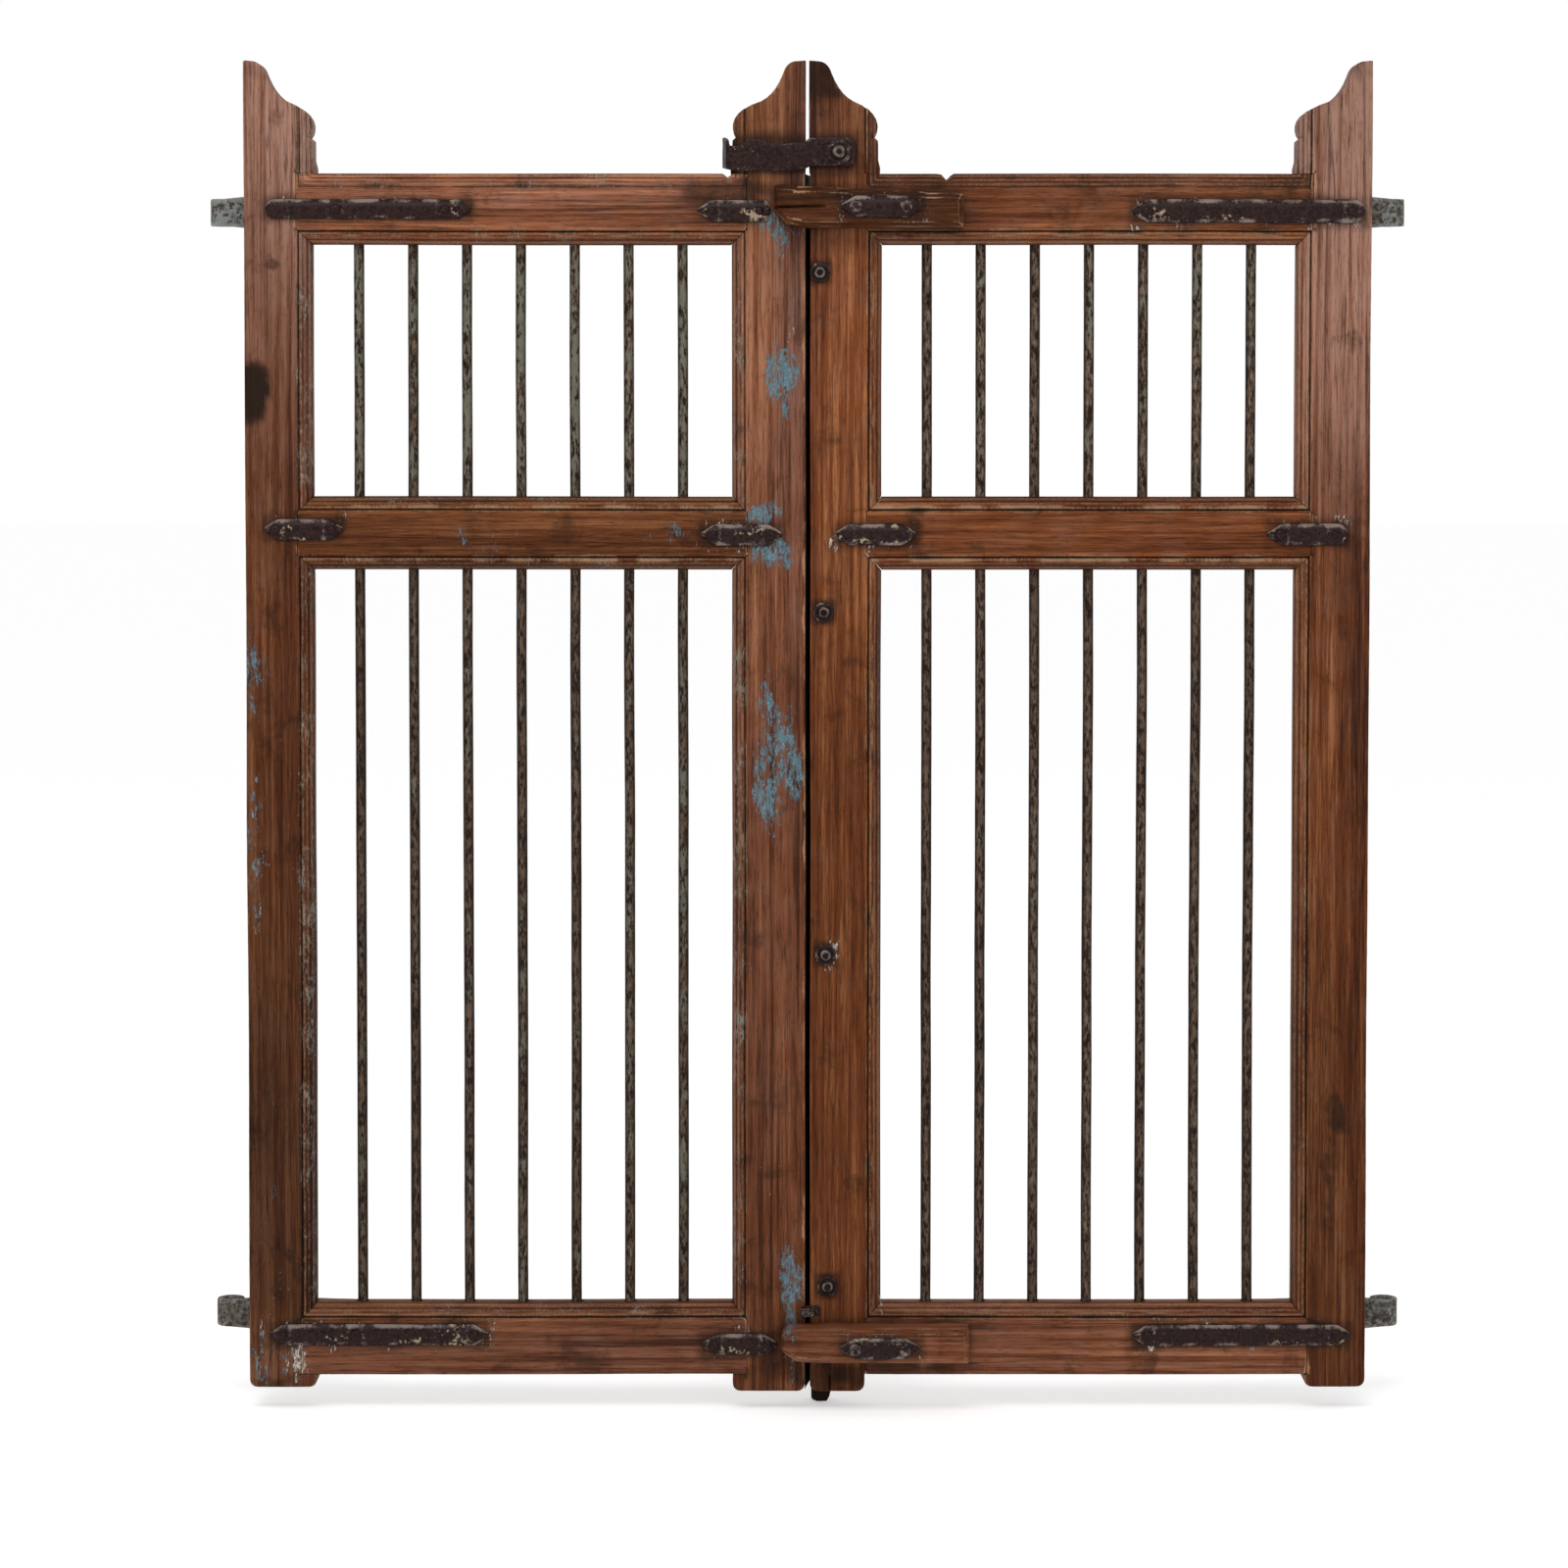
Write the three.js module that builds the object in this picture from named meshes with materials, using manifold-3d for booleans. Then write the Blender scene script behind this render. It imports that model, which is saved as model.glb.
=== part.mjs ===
// An old double garden gate in teak and iron: two leaves of stiles and rails with round bars,
// flat iron straps on the joints, hinge bands with rolled eyes on the back, two stop cleats,
// a cover strip behind the gap and a hasp across the meeting heads.
// Millimetres. X runs across the gate, the front faces -Y, +Z is up and Z = 0 is its lowest point.
import * as THREE from 'three';
import { mergeVertices } from 'three/addons/utils/BufferGeometryUtils.js';
import Module from 'manifold-3d';

const wasm = await Module();
wasm.setup();

// ---- driving dimensions ----
const fitGap = 0.3; // between pieces that touch
const leafWidth = 569;
const leafThickness = 40;
const meetingGap = 5; // between the two leaves, at the front
const headGap = 3; // between the two meeting heads
const meetingSplay = 6; // how far the meeting edges slant across the thickness
const shoulderWidth = 15.5; // the rails' shoulders reach this far over the stiles
const tenonLength = 44;
const tenonThickness = 12;
const tenonInset = 17; // from the rail's edges to its tenon
const eyeRadius = 14.5;
const eyeBore = 8.5;
const pinRadius = 8;
const hingeOffset = 26; // from a leaf's outer edge to its hinge axis
const bandThickness = 5;
const barRadius = 5.25;
const barSocket = 28;
const barPitch = 55;
const barCount = 7;
const cleatDepth = 32;
const headMouldingDepth = 0.8; // of the openings' moulding
const strapThickness = 5;
const boltHeadHeight = 4;
const cleatBoltRadius = 4;
const studRadius = 3;
const battenThickness = 18;
const haspThickness = 4;

// each leaf's stiles: their widths, how far their heads and feet reach, and the middle of its bars
const leafSizes = {
  left: {
    hanging: { width: 68, head: 69.5, foot: 69 },
    meeting: { width: 74.5, head: 73.5, foot: 74 },
    barCentre: -292,
  },
  right: {
    hanging: { width: 75, head: 75.5, foot: 62 },
    meeting: { width: 72.5, head: 69, foot: 56 },
    barCentre: 286.5,
  },
};

// levels, bottom to top
const hangingFootZ = 24.5;
const meetingFootZ = 20;
const bottomRail = { low: 37.5, high: 110 };
const middleRail = { low: 863, high: 937.5 };
const topRail = { low: 1193.5, high: 1265 };
const headTopZ = 1379;
const topBandZ = 1227.5;
const bottomBandZ = 92;
const eyeHeight = 27.5;

// depths: the origin is half way between the cleat bolts and the hinge eyes
const frontReach = leafThickness / 2 + fitGap * 2 + cleatDepth + strapThickness + boltHeadHeight;
const backReach = leafThickness / 2 + fitGap + eyeRadius * 2;
const leafMidY = (frontReach - backReach) / 2;
const leafFront = leafMidY - leafThickness / 2;
const leafBack = leafMidY + leafThickness / 2;
const eyeY = leafBack + fitGap + eyeRadius;
const hingeX = meetingGap / 2 + leafWidth + hingeOffset;

const gate = new THREE.Group();

const teak = { color: 0x7a4526, roughness: 0.7, metalness: 0 };
const darkIron = { color: 0x332625, roughness: 0.6, metalness: 0.6 };
const barIron = { color: 0x4a4238, roughness: 0.65, metalness: 0.5 };
const bandIron = { color: 0x5c6058, roughness: 0.65, metalness: 0.5 };

// ---- solids ----

// A closed geometry as a solid that can be cut and joined.
function toSolid(geometry) {
  geometry.deleteAttribute('normal');
  geometry.deleteAttribute('uv');
  const merged = mergeVertices(geometry, 1e-3);
  return new wasm.Manifold(
    new wasm.Mesh({
      numProp: 3,
      vertProperties: new Float32Array(merged.attributes.position.array),
      triVerts: new Uint32Array(merged.index.array),
    }),
  );
}

// Adds a solid to the gate as a named mesh.
function addPiece(name, solid, look) {
  const made = solid.getMesh();
  const geometry = new THREE.BufferGeometry();
  geometry.setAttribute('position', new THREE.BufferAttribute(made.vertProperties, 3));
  geometry.setIndex(new THREE.BufferAttribute(made.triVerts, 1));
  geometry.computeVertexNormals();
  const mesh = new THREE.Mesh(geometry, new THREE.MeshStandardMaterial(look));
  mesh.name = name;
  gate.add(mesh);
}

// A front-view outline (x, z) given a thickness from yFront to yBack.
function extrudeY(shape, yFront, yBack, curveSegments = 5) {
  const geometry = new THREE.ExtrudeGeometry(shape, {
    depth: yBack - yFront,
    bevelEnabled: false,
    curveSegments,
  });
  geometry.rotateX(Math.PI / 2);
  geometry.translate(0, yBack, 0);
  return toSolid(geometry);
}

// A plan outline (x, y) raised from zLow to zHigh.
function extrudeZ(shape, zLow, zHigh, curveSegments = 6) {
  const geometry = new THREE.ExtrudeGeometry(shape, {
    depth: zHigh - zLow,
    bevelEnabled: false,
    curveSegments,
  });
  geometry.translate(0, 0, zLow);
  return toSolid(geometry);
}

function box(xLow, xHigh, yLow, yHigh, zLow, zHigh) {
  const geometry = new THREE.BoxGeometry(xHigh - xLow, yHigh - yLow, zHigh - zLow);
  geometry.translate((xLow + xHigh) / 2, (yLow + yHigh) / 2, (zLow + zHigh) / 2);
  return toSolid(geometry);
}

function cylinderZ(radius, x, y, zLow, zHigh, sides) {
  const geometry = new THREE.CylinderGeometry(radius, radius, zHigh - zLow, sides);
  geometry.rotateX(Math.PI / 2);
  geometry.translate(x, y, (zLow + zHigh) / 2);
  return toSolid(geometry);
}

function cylinderY(radius, x, z, yLow, yHigh, sides) {
  const geometry = new THREE.CylinderGeometry(radius, radius, yHigh - yLow, sides);
  geometry.translate(x, (yLow + yHigh) / 2, z);
  return toSolid(geometry);
}

// A turned piece on an axis along Y: its profile is a list of [radius, y], from back to front.
function turned(profile, x, z, sides) {
  const points = profile.map(([radius, y]) => new THREE.Vector2(radius, y));
  const geometry = new THREE.LatheGeometry(points, sides);
  geometry.translate(x, 0, z);
  return toSolid(geometry);
}

function polygon(points) {
  return new THREE.Shape(points.map(([a, b]) => new THREE.Vector2(a, b)));
}

// Moves each edge of a convex counter-clockwise outline inwards by a distance.
function insetOutline(points, distance) {
  const count = points.length;
  const lines = points.map((p, i) => {
    const q = points[(i + 1) % count];
    const length = Math.hypot(q[0] - p[0], q[1] - p[1]);
    const normal = [-(q[1] - p[1]) / length, (q[0] - p[0]) / length];
    return { normal, offset: normal[0] * p[0] + normal[1] * p[1] + distance };
  });
  return points.map((_, i) => {
    const a = lines[(i + count - 1) % count];
    const b = lines[i];
    const cross = a.normal[0] * b.normal[1] - a.normal[1] * b.normal[0];
    const x = (a.offset * b.normal[1] - b.offset * a.normal[1]) / cross;
    const z = (a.normal[0] * b.offset - b.normal[0] * a.offset) / cross;
    return [x, z];
  });
}

// A plate with a convex front-view outline, its front edges bevelled.
function bevelledPlate(outline, yBack, yFront, bevel) {
  const rings = [
    { points: outline, y: yBack },
    { points: outline, y: yFront + bevel },
    { points: insetOutline(outline, bevel), y: yFront },
  ];
  const count = outline.length;
  const positions = rings.flatMap((ring) => ring.points.flatMap(([x, z]) => [x, ring.y, z]));
  const faces = [];
  for (let ring = 0; ring < rings.length - 1; ring += 1) {
    for (let i = 0; i < count; i += 1) {
      const next = (i + 1) % count;
      const a = ring * count + i;
      const b = ring * count + next;
      faces.push(a, b, b + count, a, b + count, a + count);
    }
  }
  const front = count * (rings.length - 1);
  for (let i = 1; i < count - 1; i += 1) {
    faces.push(0, i + 1, i);
    faces.push(front, front + i, front + i + 1);
  }
  const geometry = new THREE.BufferGeometry();
  geometry.setAttribute('position', new THREE.Float32BufferAttribute(positions, 3));
  geometry.setIndex(faces);
  return toSolid(geometry);
}

// ---- mouldings round the openings ----

// What the moulding takes away, as [distance from the opening, depth from the face]:
// a slope up from the middle ridge, a flat bead and a narrow quirk groove.
const mouldingProfile = [
  [-1, -1],
  [13.8, -1],
  [13.8, 3],
  [12.4, 3],
  [12.4, 1],
  [8, 1],
  [4, 5],
  [0, 13],
  [-1, 13],
];

// The mitred ring that cuts the moulding round one opening, on the front or the back face.
function mouldingCutter(opening, onFront) {
  const corners = [
    { x: opening.xLow, z: opening.low, sx: -1, sz: -1 },
    { x: opening.xHigh, z: opening.low, sx: 1, sz: -1 },
    { x: opening.xHigh, z: opening.high, sx: 1, sz: 1 },
    { x: opening.xLow, z: opening.high, sx: -1, sz: 1 },
  ];
  const face = onFront ? leafFront : leafBack;
  const inwards = onFront ? 1 : -1;
  const positions = [];
  for (const corner of corners) {
    for (const [out, depth] of mouldingProfile) {
      positions.push(corner.x + corner.sx * out, face + inwards * depth, corner.z + corner.sz * out);
    }
  }
  const count = mouldingProfile.length;
  const faces = [];
  for (let corner = 0; corner < corners.length; corner += 1) {
    const nextCorner = (corner + 1) % corners.length;
    for (let i = 0; i < count; i += 1) {
      const next = (i + 1) % count;
      const a = corner * count + i;
      const b = corner * count + next;
      const c = nextCorner * count + next;
      const d = nextCorner * count + i;
      if (onFront) faces.push(a, c, d, a, b, c);
      else faces.push(a, d, c, a, c, b);
    }
  }
  const geometry = new THREE.BufferGeometry();
  geometry.setAttribute('position', new THREE.Float32BufferAttribute(positions, 3));
  geometry.setIndex(faces);
  return toSolid(geometry);
}

// The straight run of the moulding up the inner edge of a head, on the front face.
// outwards (+1 or -1) points from the edge into the stile.
function headMouldingCutter(edgeX, outwards) {
  const outline = mouldingProfile.map(([out, depth]) => [
    edgeX + outwards * out,
    leafFront + depth * headMouldingDepth,
  ]);
  const first = [edgeX - outwards * 6, leafFront - 1];
  const last = [edgeX - outwards * 6, leafFront + 9];
  const points = [first, ...outline.slice(1, -2), [edgeX, leafFront + 9], last];
  return extrudeZ(polygon(points), topRail.high + fitGap, headTopZ + 5);
}

// ---- stiles ----

// The front-view outline of a stile. Its outer edge is at edgeX and it runs inwards in
// direction inwards (+1 or -1); u below is the distance from that edge.
function stileShape(edgeX, inwards, sizes, footZ, headStep) {
  const shape = new THREE.Shape();
  const at = (u, z) => [edgeX + inwards * u, z];
  const { width, head, foot } = sizes;
  const shoulder = width - shoulderWidth;
  const footRound = 9;
  shape.moveTo(...at(footRound, footZ));
  shape.quadraticCurveTo(...at(0, footZ), ...at(0, footZ + footRound));
  shape.lineTo(...at(0, topRail.high));
  if (headStep > 0) shape.lineTo(...at(-headStep, topRail.high + fitGap));
  shape.lineTo(...at(-headStep, headTopZ));
  // the shaped head: rounded crest, cove, nose, notch and neck
  shape.lineTo(...at(11, headTopZ - 1));
  shape.quadraticCurveTo(...at(19, headTopZ - 3), ...at(22, headTopZ - 13));
  shape.quadraticCurveTo(...at(30, headTopZ - 34), ...at(44, headTopZ - 41));
  shape.quadraticCurveTo(...at(head - 2, headTopZ - 50), ...at(head - 0.5, headTopZ - 64));
  shape.quadraticCurveTo(...at(head, headTopZ - 73), ...at(head - 4, headTopZ - 77));
  shape.lineTo(...at(head, headTopZ - 80));
  shape.lineTo(...at(head, headTopZ - 100));
  shape.lineTo(...at(head + 2, headTopZ - 108));
  shape.lineTo(...at(head + 2, topRail.high + fitGap));
  shape.lineTo(...at(shoulder, topRail.high + fitGap));
  // the inner side, mitred where each rail's shoulder meets an opening
  shape.lineTo(...at(shoulder, topRail.low + shoulderWidth));
  shape.lineTo(...at(width, topRail.low));
  shape.lineTo(...at(width, middleRail.high));
  shape.lineTo(...at(shoulder, middleRail.high - shoulderWidth));
  shape.lineTo(...at(shoulder, middleRail.low + shoulderWidth));
  shape.lineTo(...at(width, middleRail.low));
  shape.lineTo(...at(width, bottomRail.high));
  shape.lineTo(...at(shoulder, bottomRail.high - shoulderWidth));
  shape.lineTo(...at(shoulder, bottomRail.low - fitGap));
  shape.lineTo(...at(foot, bottomRail.low - fitGap));
  shape.lineTo(...at(foot, footZ + footRound));
  shape.quadraticCurveTo(...at(foot, footZ), ...at(foot - footRound, footZ));
  return shape;
}

// The plan of what lies left of a slanted meeting edge that starts at x on the front face.
function slantedWedge(x, extra) {
  const corners = [
    [x - extra, leafFront],
    [x, leafFront],
    [x + meetingSplay, leafBack],
    [x - extra, leafBack],
  ];
  return polygon(extra > 0 ? corners : corners.slice(1));
}

// ---- rails ----

// The front-view outline of a rail between the openings' edges at x1 and x2.
// A side of the rail that meets an opening has mitred corners.
function railShape(rail, x1, x2, mitredBelow, mitredAbove) {
  const diagonal = fitGap * Math.SQRT2;
  const end = shoulderWidth - fitGap;
  const points = [];
  if (mitredBelow) {
    points.push([x1 - end, rail.low + shoulderWidth + fitGap], [x1 + diagonal, rail.low]);
    points.push([x2 - diagonal, rail.low], [x2 + end, rail.low + shoulderWidth + fitGap]);
  } else {
    points.push([x1 - end, rail.low], [x2 + end, rail.low]);
  }
  if (mitredAbove) {
    points.push([x2 + end, rail.high - shoulderWidth - fitGap], [x2 - diagonal, rail.high]);
    points.push([x1 + diagonal, rail.high], [x1 - end, rail.high - shoulderWidth - fitGap]);
  } else {
    points.push([x2 + end, rail.high], [x1 - end, rail.high]);
  }
  return polygon(points);
}

// The tenon on a rail's end, or with a clearance the mortise for it. outwards is -1 or +1.
function tenon(rail, shoulderX, outwards, clearance) {
  const tip = shoulderX + outwards * (tenonLength + clearance);
  const root = shoulderX - outwards * (clearance > 0 ? clearance : 2);
  return box(
    Math.min(tip, root),
    Math.max(tip, root),
    leafMidY - tenonThickness / 2 - clearance,
    leafMidY + tenonThickness / 2 + clearance,
    rail.low + tenonInset - clearance,
    rail.high - tenonInset + clearance,
  );
}

// ---- ironwork ----

// The outline of a face strap with pointed ends, from x1 to x2, counter-clockwise.
function strapOutline(x1, x2, z, width, point) {
  const half = width / 2;
  const blunt = width * 0.22;
  return [
    [x1, z - blunt],
    [x1 + point, z - half],
    [x2 - point, z - half],
    [x2, z - blunt],
    [x2, z + blunt],
    [x2 - point, z + half],
    [x1 + point, z + half],
    [x1, z + blunt],
  ];
}

// A domed nail head standing on a surface at y, facing the front or the back.
function nailHead(x, z, y, radius, height, outwards) {
  const root = y - outwards * 1;
  const profile = [
    [0, root],
    [radius, root],
    [radius, y + outwards * height * 0.3],
    [radius * 0.6, y + outwards * height],
    [0, y + outwards * height],
  ];
  return turned(outwards > 0 ? profile : profile.reverse(), x, z, 8);
}

// A face strap nailed to the front of the leaf at nail distances from its two ends.
function faceStrap({ x1, x2, z, width = 22, point = 9, nailInset = 13 }) {
  const back = leafFront - fitGap;
  const front = back - strapThickness;
  let solid = bevelledPlate(strapOutline(x1, x2, z, width, point), back, front, 3);
  for (const x of [x1 + nailInset, x2 - nailInset]) {
    solid = solid.add(nailHead(x, z, front, 4.5, 2.5, -1));
  }
  return solid;
}

// A hinge band on the back of a leaf: a tapering strap whose end is rolled into an eye.
function hingeBand(side, z) {
  const back = leafBack + fitGap;
  const at = (distance, dz) => [side * (hingeX - distance), z + dz];
  const half = eyeHeight / 2;
  const points = [
    at(0, -half),
    at(hingeOffset, -half - 2.5),
    at(hingeOffset + 30, -half - 2.5),
    at(250, -11),
    at(290, -11),
    at(308, 0),
    at(290, 11),
    at(250, 11),
    at(hingeOffset + 30, half + 2.5),
    at(hingeOffset, half + 2.5),
    at(0, half),
  ];
  let solid = extrudeY(polygon(points), back, back + bandThickness);
  solid = solid.add(cylinderZ(eyeRadius, side * hingeX, eyeY, z - half, z + half, 28));
  solid = solid.subtract(cylinderZ(eyeBore, side * hingeX, eyeY, z - half - 5, z + half + 5, 28));
  for (const distance of [48, 120, 200, 284]) {
    solid = solid.add(nailHead(side * (hingeX - distance), z, back + bandThickness, 6, 3.5, 1));
  }
  return solid;
}

// ---- the two leaves ----

const railList = [
  { name: 'top_rail', rail: topRail, mitredBelow: true, mitredAbove: false },
  { name: 'middle_rail', rail: middleRail, mitredBelow: true, mitredAbove: true },
  { name: 'bottom_rail', rail: bottomRail, mitredBelow: false, mitredAbove: true },
];

// The bolts and studs that go right through the right leaf, as x, z and radius.
const cleatStrapZ = { top: 1230.5, bottom: 71.5 };
const cleatBolts = [
  { name: 'top_cleat_bolt_1', x: 48, z: cleatStrapZ.top },
  { name: 'top_cleat_bolt_2', x: 99, z: cleatStrapZ.top },
  { name: 'bottom_cleat_bolt_1', x: 48, z: cleatStrapZ.bottom },
  { name: 'bottom_cleat_bolt_2', x: 99, z: cleatStrapZ.bottom },
];
const coverStuds = [
  { x: 12.5, z: 1165 },
  { x: 16.5, z: 820 },
  { x: 18.5, z: 470 },
  { x: 20.5, z: 129 },
];
const haspPivot = { x: 31.5, z: 1286.5, boltRadius: 4.5 };

const holeSides = 12;
const throughHoles = [
  ...cleatBolts.map(({ x, z }) => ({ x, z, radius: cleatBoltRadius + 0.5 })),
  ...coverStuds.map(({ x, z }) => ({ x, z, radius: studRadius + 0.4 })),
  { x: haspPivot.x, z: haspPivot.z, radius: haspPivot.boltRadius + 0.5 },
];

function drillThrough(solid, yLow, yHigh) {
  return throughHoles.reduce(
    (cut, hole) => cut.subtract(cylinderY(hole.radius, hole.x, hole.z, yLow, yHigh, holeSides)),
    solid,
  );
}

// A leaf; side is -1 for the left one and +1 for the right one.
function buildLeaf(leafName, side) {
  const sizes = leafSizes[leafName];
  const meetingX = (side * meetingGap) / 2;
  const hangingX = meetingX + side * leafWidth;
  const openingA = meetingX + side * sizes.meeting.width;
  const openingB = hangingX - side * sizes.hanging.width;
  const firstBar = sizes.barCentre - (barPitch * (barCount - 1)) / 2;
  const barPositions = Array.from({ length: barCount }, (_, i) => firstBar + i * barPitch);
  const xLow = Math.min(openingA, openingB);
  const xHigh = Math.max(openingA, openingB);
  const cutters = [
    { xLow, xHigh, low: middleRail.high, high: topRail.low },
    { xLow, xHigh, low: bottomRail.high, high: middleRail.low },
  ].flatMap((opening) => [mouldingCutter(opening, true), mouldingCutter(opening, false)]);
  cutters.push(headMouldingCutter(meetingX + side * sizes.meeting.head, -side));
  cutters.push(headMouldingCutter(hangingX - side * sizes.hanging.head, side));
  const mould = (solid) => cutters.reduce((cut, cutter) => cut.subtract(cutter), solid);

  // the stiles, with their mortises
  const clearance = fitGap;
  const stiles = {
    hanging: extrudeY(
      stileShape(hangingX, -side, sizes.hanging, hangingFootZ, 0),
      leafFront,
      leafBack,
    ),
    meeting: extrudeY(
      stileShape(meetingX, side, sizes.meeting, meetingFootZ, (meetingGap - headGap) / 2),
      leafFront,
      leafBack,
    ),
  };
  const shoulderA = openingA - side * shoulderWidth;
  const shoulderB = openingB + side * shoulderWidth;
  for (const { rail } of railList) {
    stiles.meeting = stiles.meeting.subtract(tenon(rail, shoulderA, -side, clearance));
    stiles.hanging = stiles.hanging.subtract(tenon(rail, shoulderB, side, clearance));
  }

  // the meeting edges slant, so that the left stile's back edge lies behind the gap
  if (side < 0) {
    const tongue = extrudeZ(slantedWedge(meetingX, 0), meetingFootZ + 2, topRail.high);
    stiles.meeting = stiles.meeting.add(tongue);
  } else {
    const headX = headGap / 2;
    const lowBevel = extrudeZ(slantedWedge(meetingX, 2), meetingFootZ - 1, topRail.high);
    const headBevel = extrudeZ(slantedWedge(headX, 2), topRail.high, headTopZ + 1);
    stiles.meeting = stiles.meeting.subtract(lowBevel).subtract(headBevel);
    stiles.meeting = drillThrough(stiles.meeting, leafFront - 1, leafBack + 1);
  }
  addPiece(`${leafName}_hanging_stile`, mould(stiles.hanging), teak);
  addPiece(`${leafName}_meeting_stile`, mould(stiles.meeting), teak);

  // the rails, with tenons, bar holes and bolt holes
  const barBottom = bottomRail.high - barSocket;
  const barTop = topRail.low + barSocket;
  for (const { name, rail, mitredBelow, mitredAbove } of railList) {
    let solid = extrudeY(railShape(rail, xLow, xHigh, mitredBelow, mitredAbove), leafFront, leafBack);
    solid = solid.add(tenon(rail, shoulderA, -side, 0));
    solid = solid.add(tenon(rail, shoulderB, side, 0));
    solid = mould(solid);
    for (const x of barPositions) {
      const hole = cylinderZ(
        barRadius + 0.5,
        x,
        leafMidY,
        barBottom - fitGap,
        barTop + fitGap,
        holeSides,
      );
      solid = solid.subtract(hole);
    }
    if (side > 0) solid = drillThrough(solid, leafFront - 1, leafBack + 1);
    addPiece(`${leafName}_${name}`, solid, teak);
  }

  barPositions.forEach((x, i) => {
    const bar = cylinderZ(barRadius, x, leafMidY, barBottom, barTop, holeSides);
    addPiece(`${leafName}_bar_${i + 1}`, bar, barIron);
  });

  addPiece(`${leafName}_top_hinge_band`, hingeBand(side, topBandZ), bandIron);
  addPiece(`${leafName}_bottom_hinge_band`, hingeBand(side, bottomBandZ), bandIron);
}

buildLeaf('left', -1);
buildLeaf('right', 1);

// ---- face straps ----

const faceStraps = [
  { name: 'left_top_long_strap', x1: -550, x2: -341, z: 1229, width: 20 },
  { name: 'left_top_meeting_strap', x1: -111.5, x2: -37, z: 1227.5 },
  { name: 'left_middle_hanging_strap', x1: -552, x2: -472, z: 904 },
  { name: 'left_middle_meeting_strap', x1: -108.5, x2: -26.5, z: 899 },
  { name: 'left_bottom_long_strap', x1: -551, x2: -328, z: 79 },
  { name: 'left_bottom_meeting_strap', x1: -107.5, x2: -30, z: 68.5 },
  { name: 'right_top_long_strap', x1: 329, x2: 564.5, z: 1227, width: 24 },
  { name: 'right_middle_meeting_strap', x1: 27.5, x2: 109.5, z: 899.5 },
  { name: 'right_middle_hanging_strap', x1: 467.5, x2: 548.5, z: 899.5 },
  { name: 'right_bottom_long_strap', x1: 332.5, x2: 556.5, z: 78.5 },
];
for (const strap of faceStraps) {
  addPiece(strap.name, faceStrap(strap), darkIron);
}

// ---- stop cleats on the right leaf, which lap over the left leaf ----

const cleatBack = leafFront - fitGap;
const cleatFront = cleatBack - cleatDepth;
const cleatOutlines = {
  top: [
    [-35.5, 1229],
    [-22, 1214],
    [-2, 1210],
    [156.5, 1210],
    [156.5, 1243.5],
    [60, 1248.5],
    [-35.5, 1253],
  ],
  bottom: [
    [-26.5, 67],
    [-12, 57],
    [8, 55],
    [164, 55],
    [164, 91],
    [-19, 91],
    [-26.5, 83],
  ],
};
for (const [place, outline] of Object.entries(cleatOutlines)) {
  const cleat = bevelledPlate(outline, cleatBack, cleatFront, 5);
  addPiece(`${place}_cleat`, drillThrough(cleat, cleatFront - 1, cleatBack + 1), teak);
  const strapBack = cleatFront - fitGap;
  const strapFront = strapBack - strapThickness;
  const outlineOfStrap = strapOutline(34, 114, cleatStrapZ[place], 22, 12);
  const strap = bevelledPlate(outlineOfStrap, strapBack, strapFront, 2);
  addPiece(`${place}_cleat_strap`, drillThrough(strap, strapFront - 1, strapBack + 1), darkIron);
}

// Domed bolts through strap, cleat and leaf, with their nuts on the back.
for (const bolt of cleatBolts) {
  const underHead = cleatFront - fitGap - strapThickness;
  const nutFace = leafBack + fitGap;
  const profile = [
    [0, underHead - boltHeadHeight],
    [3.5, underHead - boltHeadHeight],
    [6.5, underHead - fitGap],
    [cleatBoltRadius, underHead - fitGap],
    [cleatBoltRadius, nutFace],
    [8, nutFace],
    [8, nutFace + 6],
    [0, nutFace + 6],
  ];
  addPiece(bolt.name, turned(profile, bolt.x, bolt.z, holeSides), darkIron);
}

// ---- cover strip behind the gap, with its four studs ----

const battenBack = leafBack + fitGap + battenThickness;
const battenX = { low: 4.2, high: 26 };
const battenShape = polygon([
  [battenX.low + 3, 0],
  [battenX.high - 6, 0],
  [battenX.high - 3, 5],
  [battenX.high, 18],
  [battenX.high, 1238],
  [battenX.low, 1238],
  [battenX.low, 4],
]);
const batten = extrudeY(battenShape, leafBack + fitGap, battenBack);
addPiece('cover_batten', drillThrough(batten, leafBack, battenBack + 1), teak);

coverStuds.forEach((stud, i) => {
  const face = leafFront - fitGap;
  const tail = battenBack + fitGap;
  const profile = [
    [0, face - 7],
    [4, face - 7],
    [6.5, face - 3],
    [10.5, face - 2.2],
    [10.5, face],
    [studRadius, face],
    [studRadius, tail],
    [5.5, tail],
    [4, tail + 2.5],
    [0, tail + 2.5],
  ];
  addPiece(`cover_stud_${i + 1}`, turned(profile, stud.x, stud.z, holeSides), darkIron);
});

// ---- hasp across the meeting heads ----

const haspBack = leafFront - 0.8;
const haspFront = haspBack - haspThickness;
const hookInner = -79.5; // the inner face of the turned end
const hookOuter = hookInner - haspThickness;
const hookReach = 16; // how far the end turns back past the face of the head
const haspShape = polygon([
  [hookOuter, 1269],
  [-60, 1267],
  [-4, 1269],
  [0, 1272.5],
  [44, 1272.5],
  [48, 1276],
  [48, 1298],
  [43, 1301.5],
  [1, 1300.5],
  [-3, 1296.5],
  [-66, 1295.5],
  [hookOuter, 1291],
]);
const hookSide = polygon([
  [hookOuter - 1, haspFront + 1],
  [hookOuter + 0.5, haspFront],
  [hookInner + 2, haspFront],
  [hookInner + 2, haspBack],
  [hookInner, haspBack + 1],
  [hookInner, leafFront + hookReach],
  [hookOuter - 3.5, leafFront + hookReach],
]);
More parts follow.
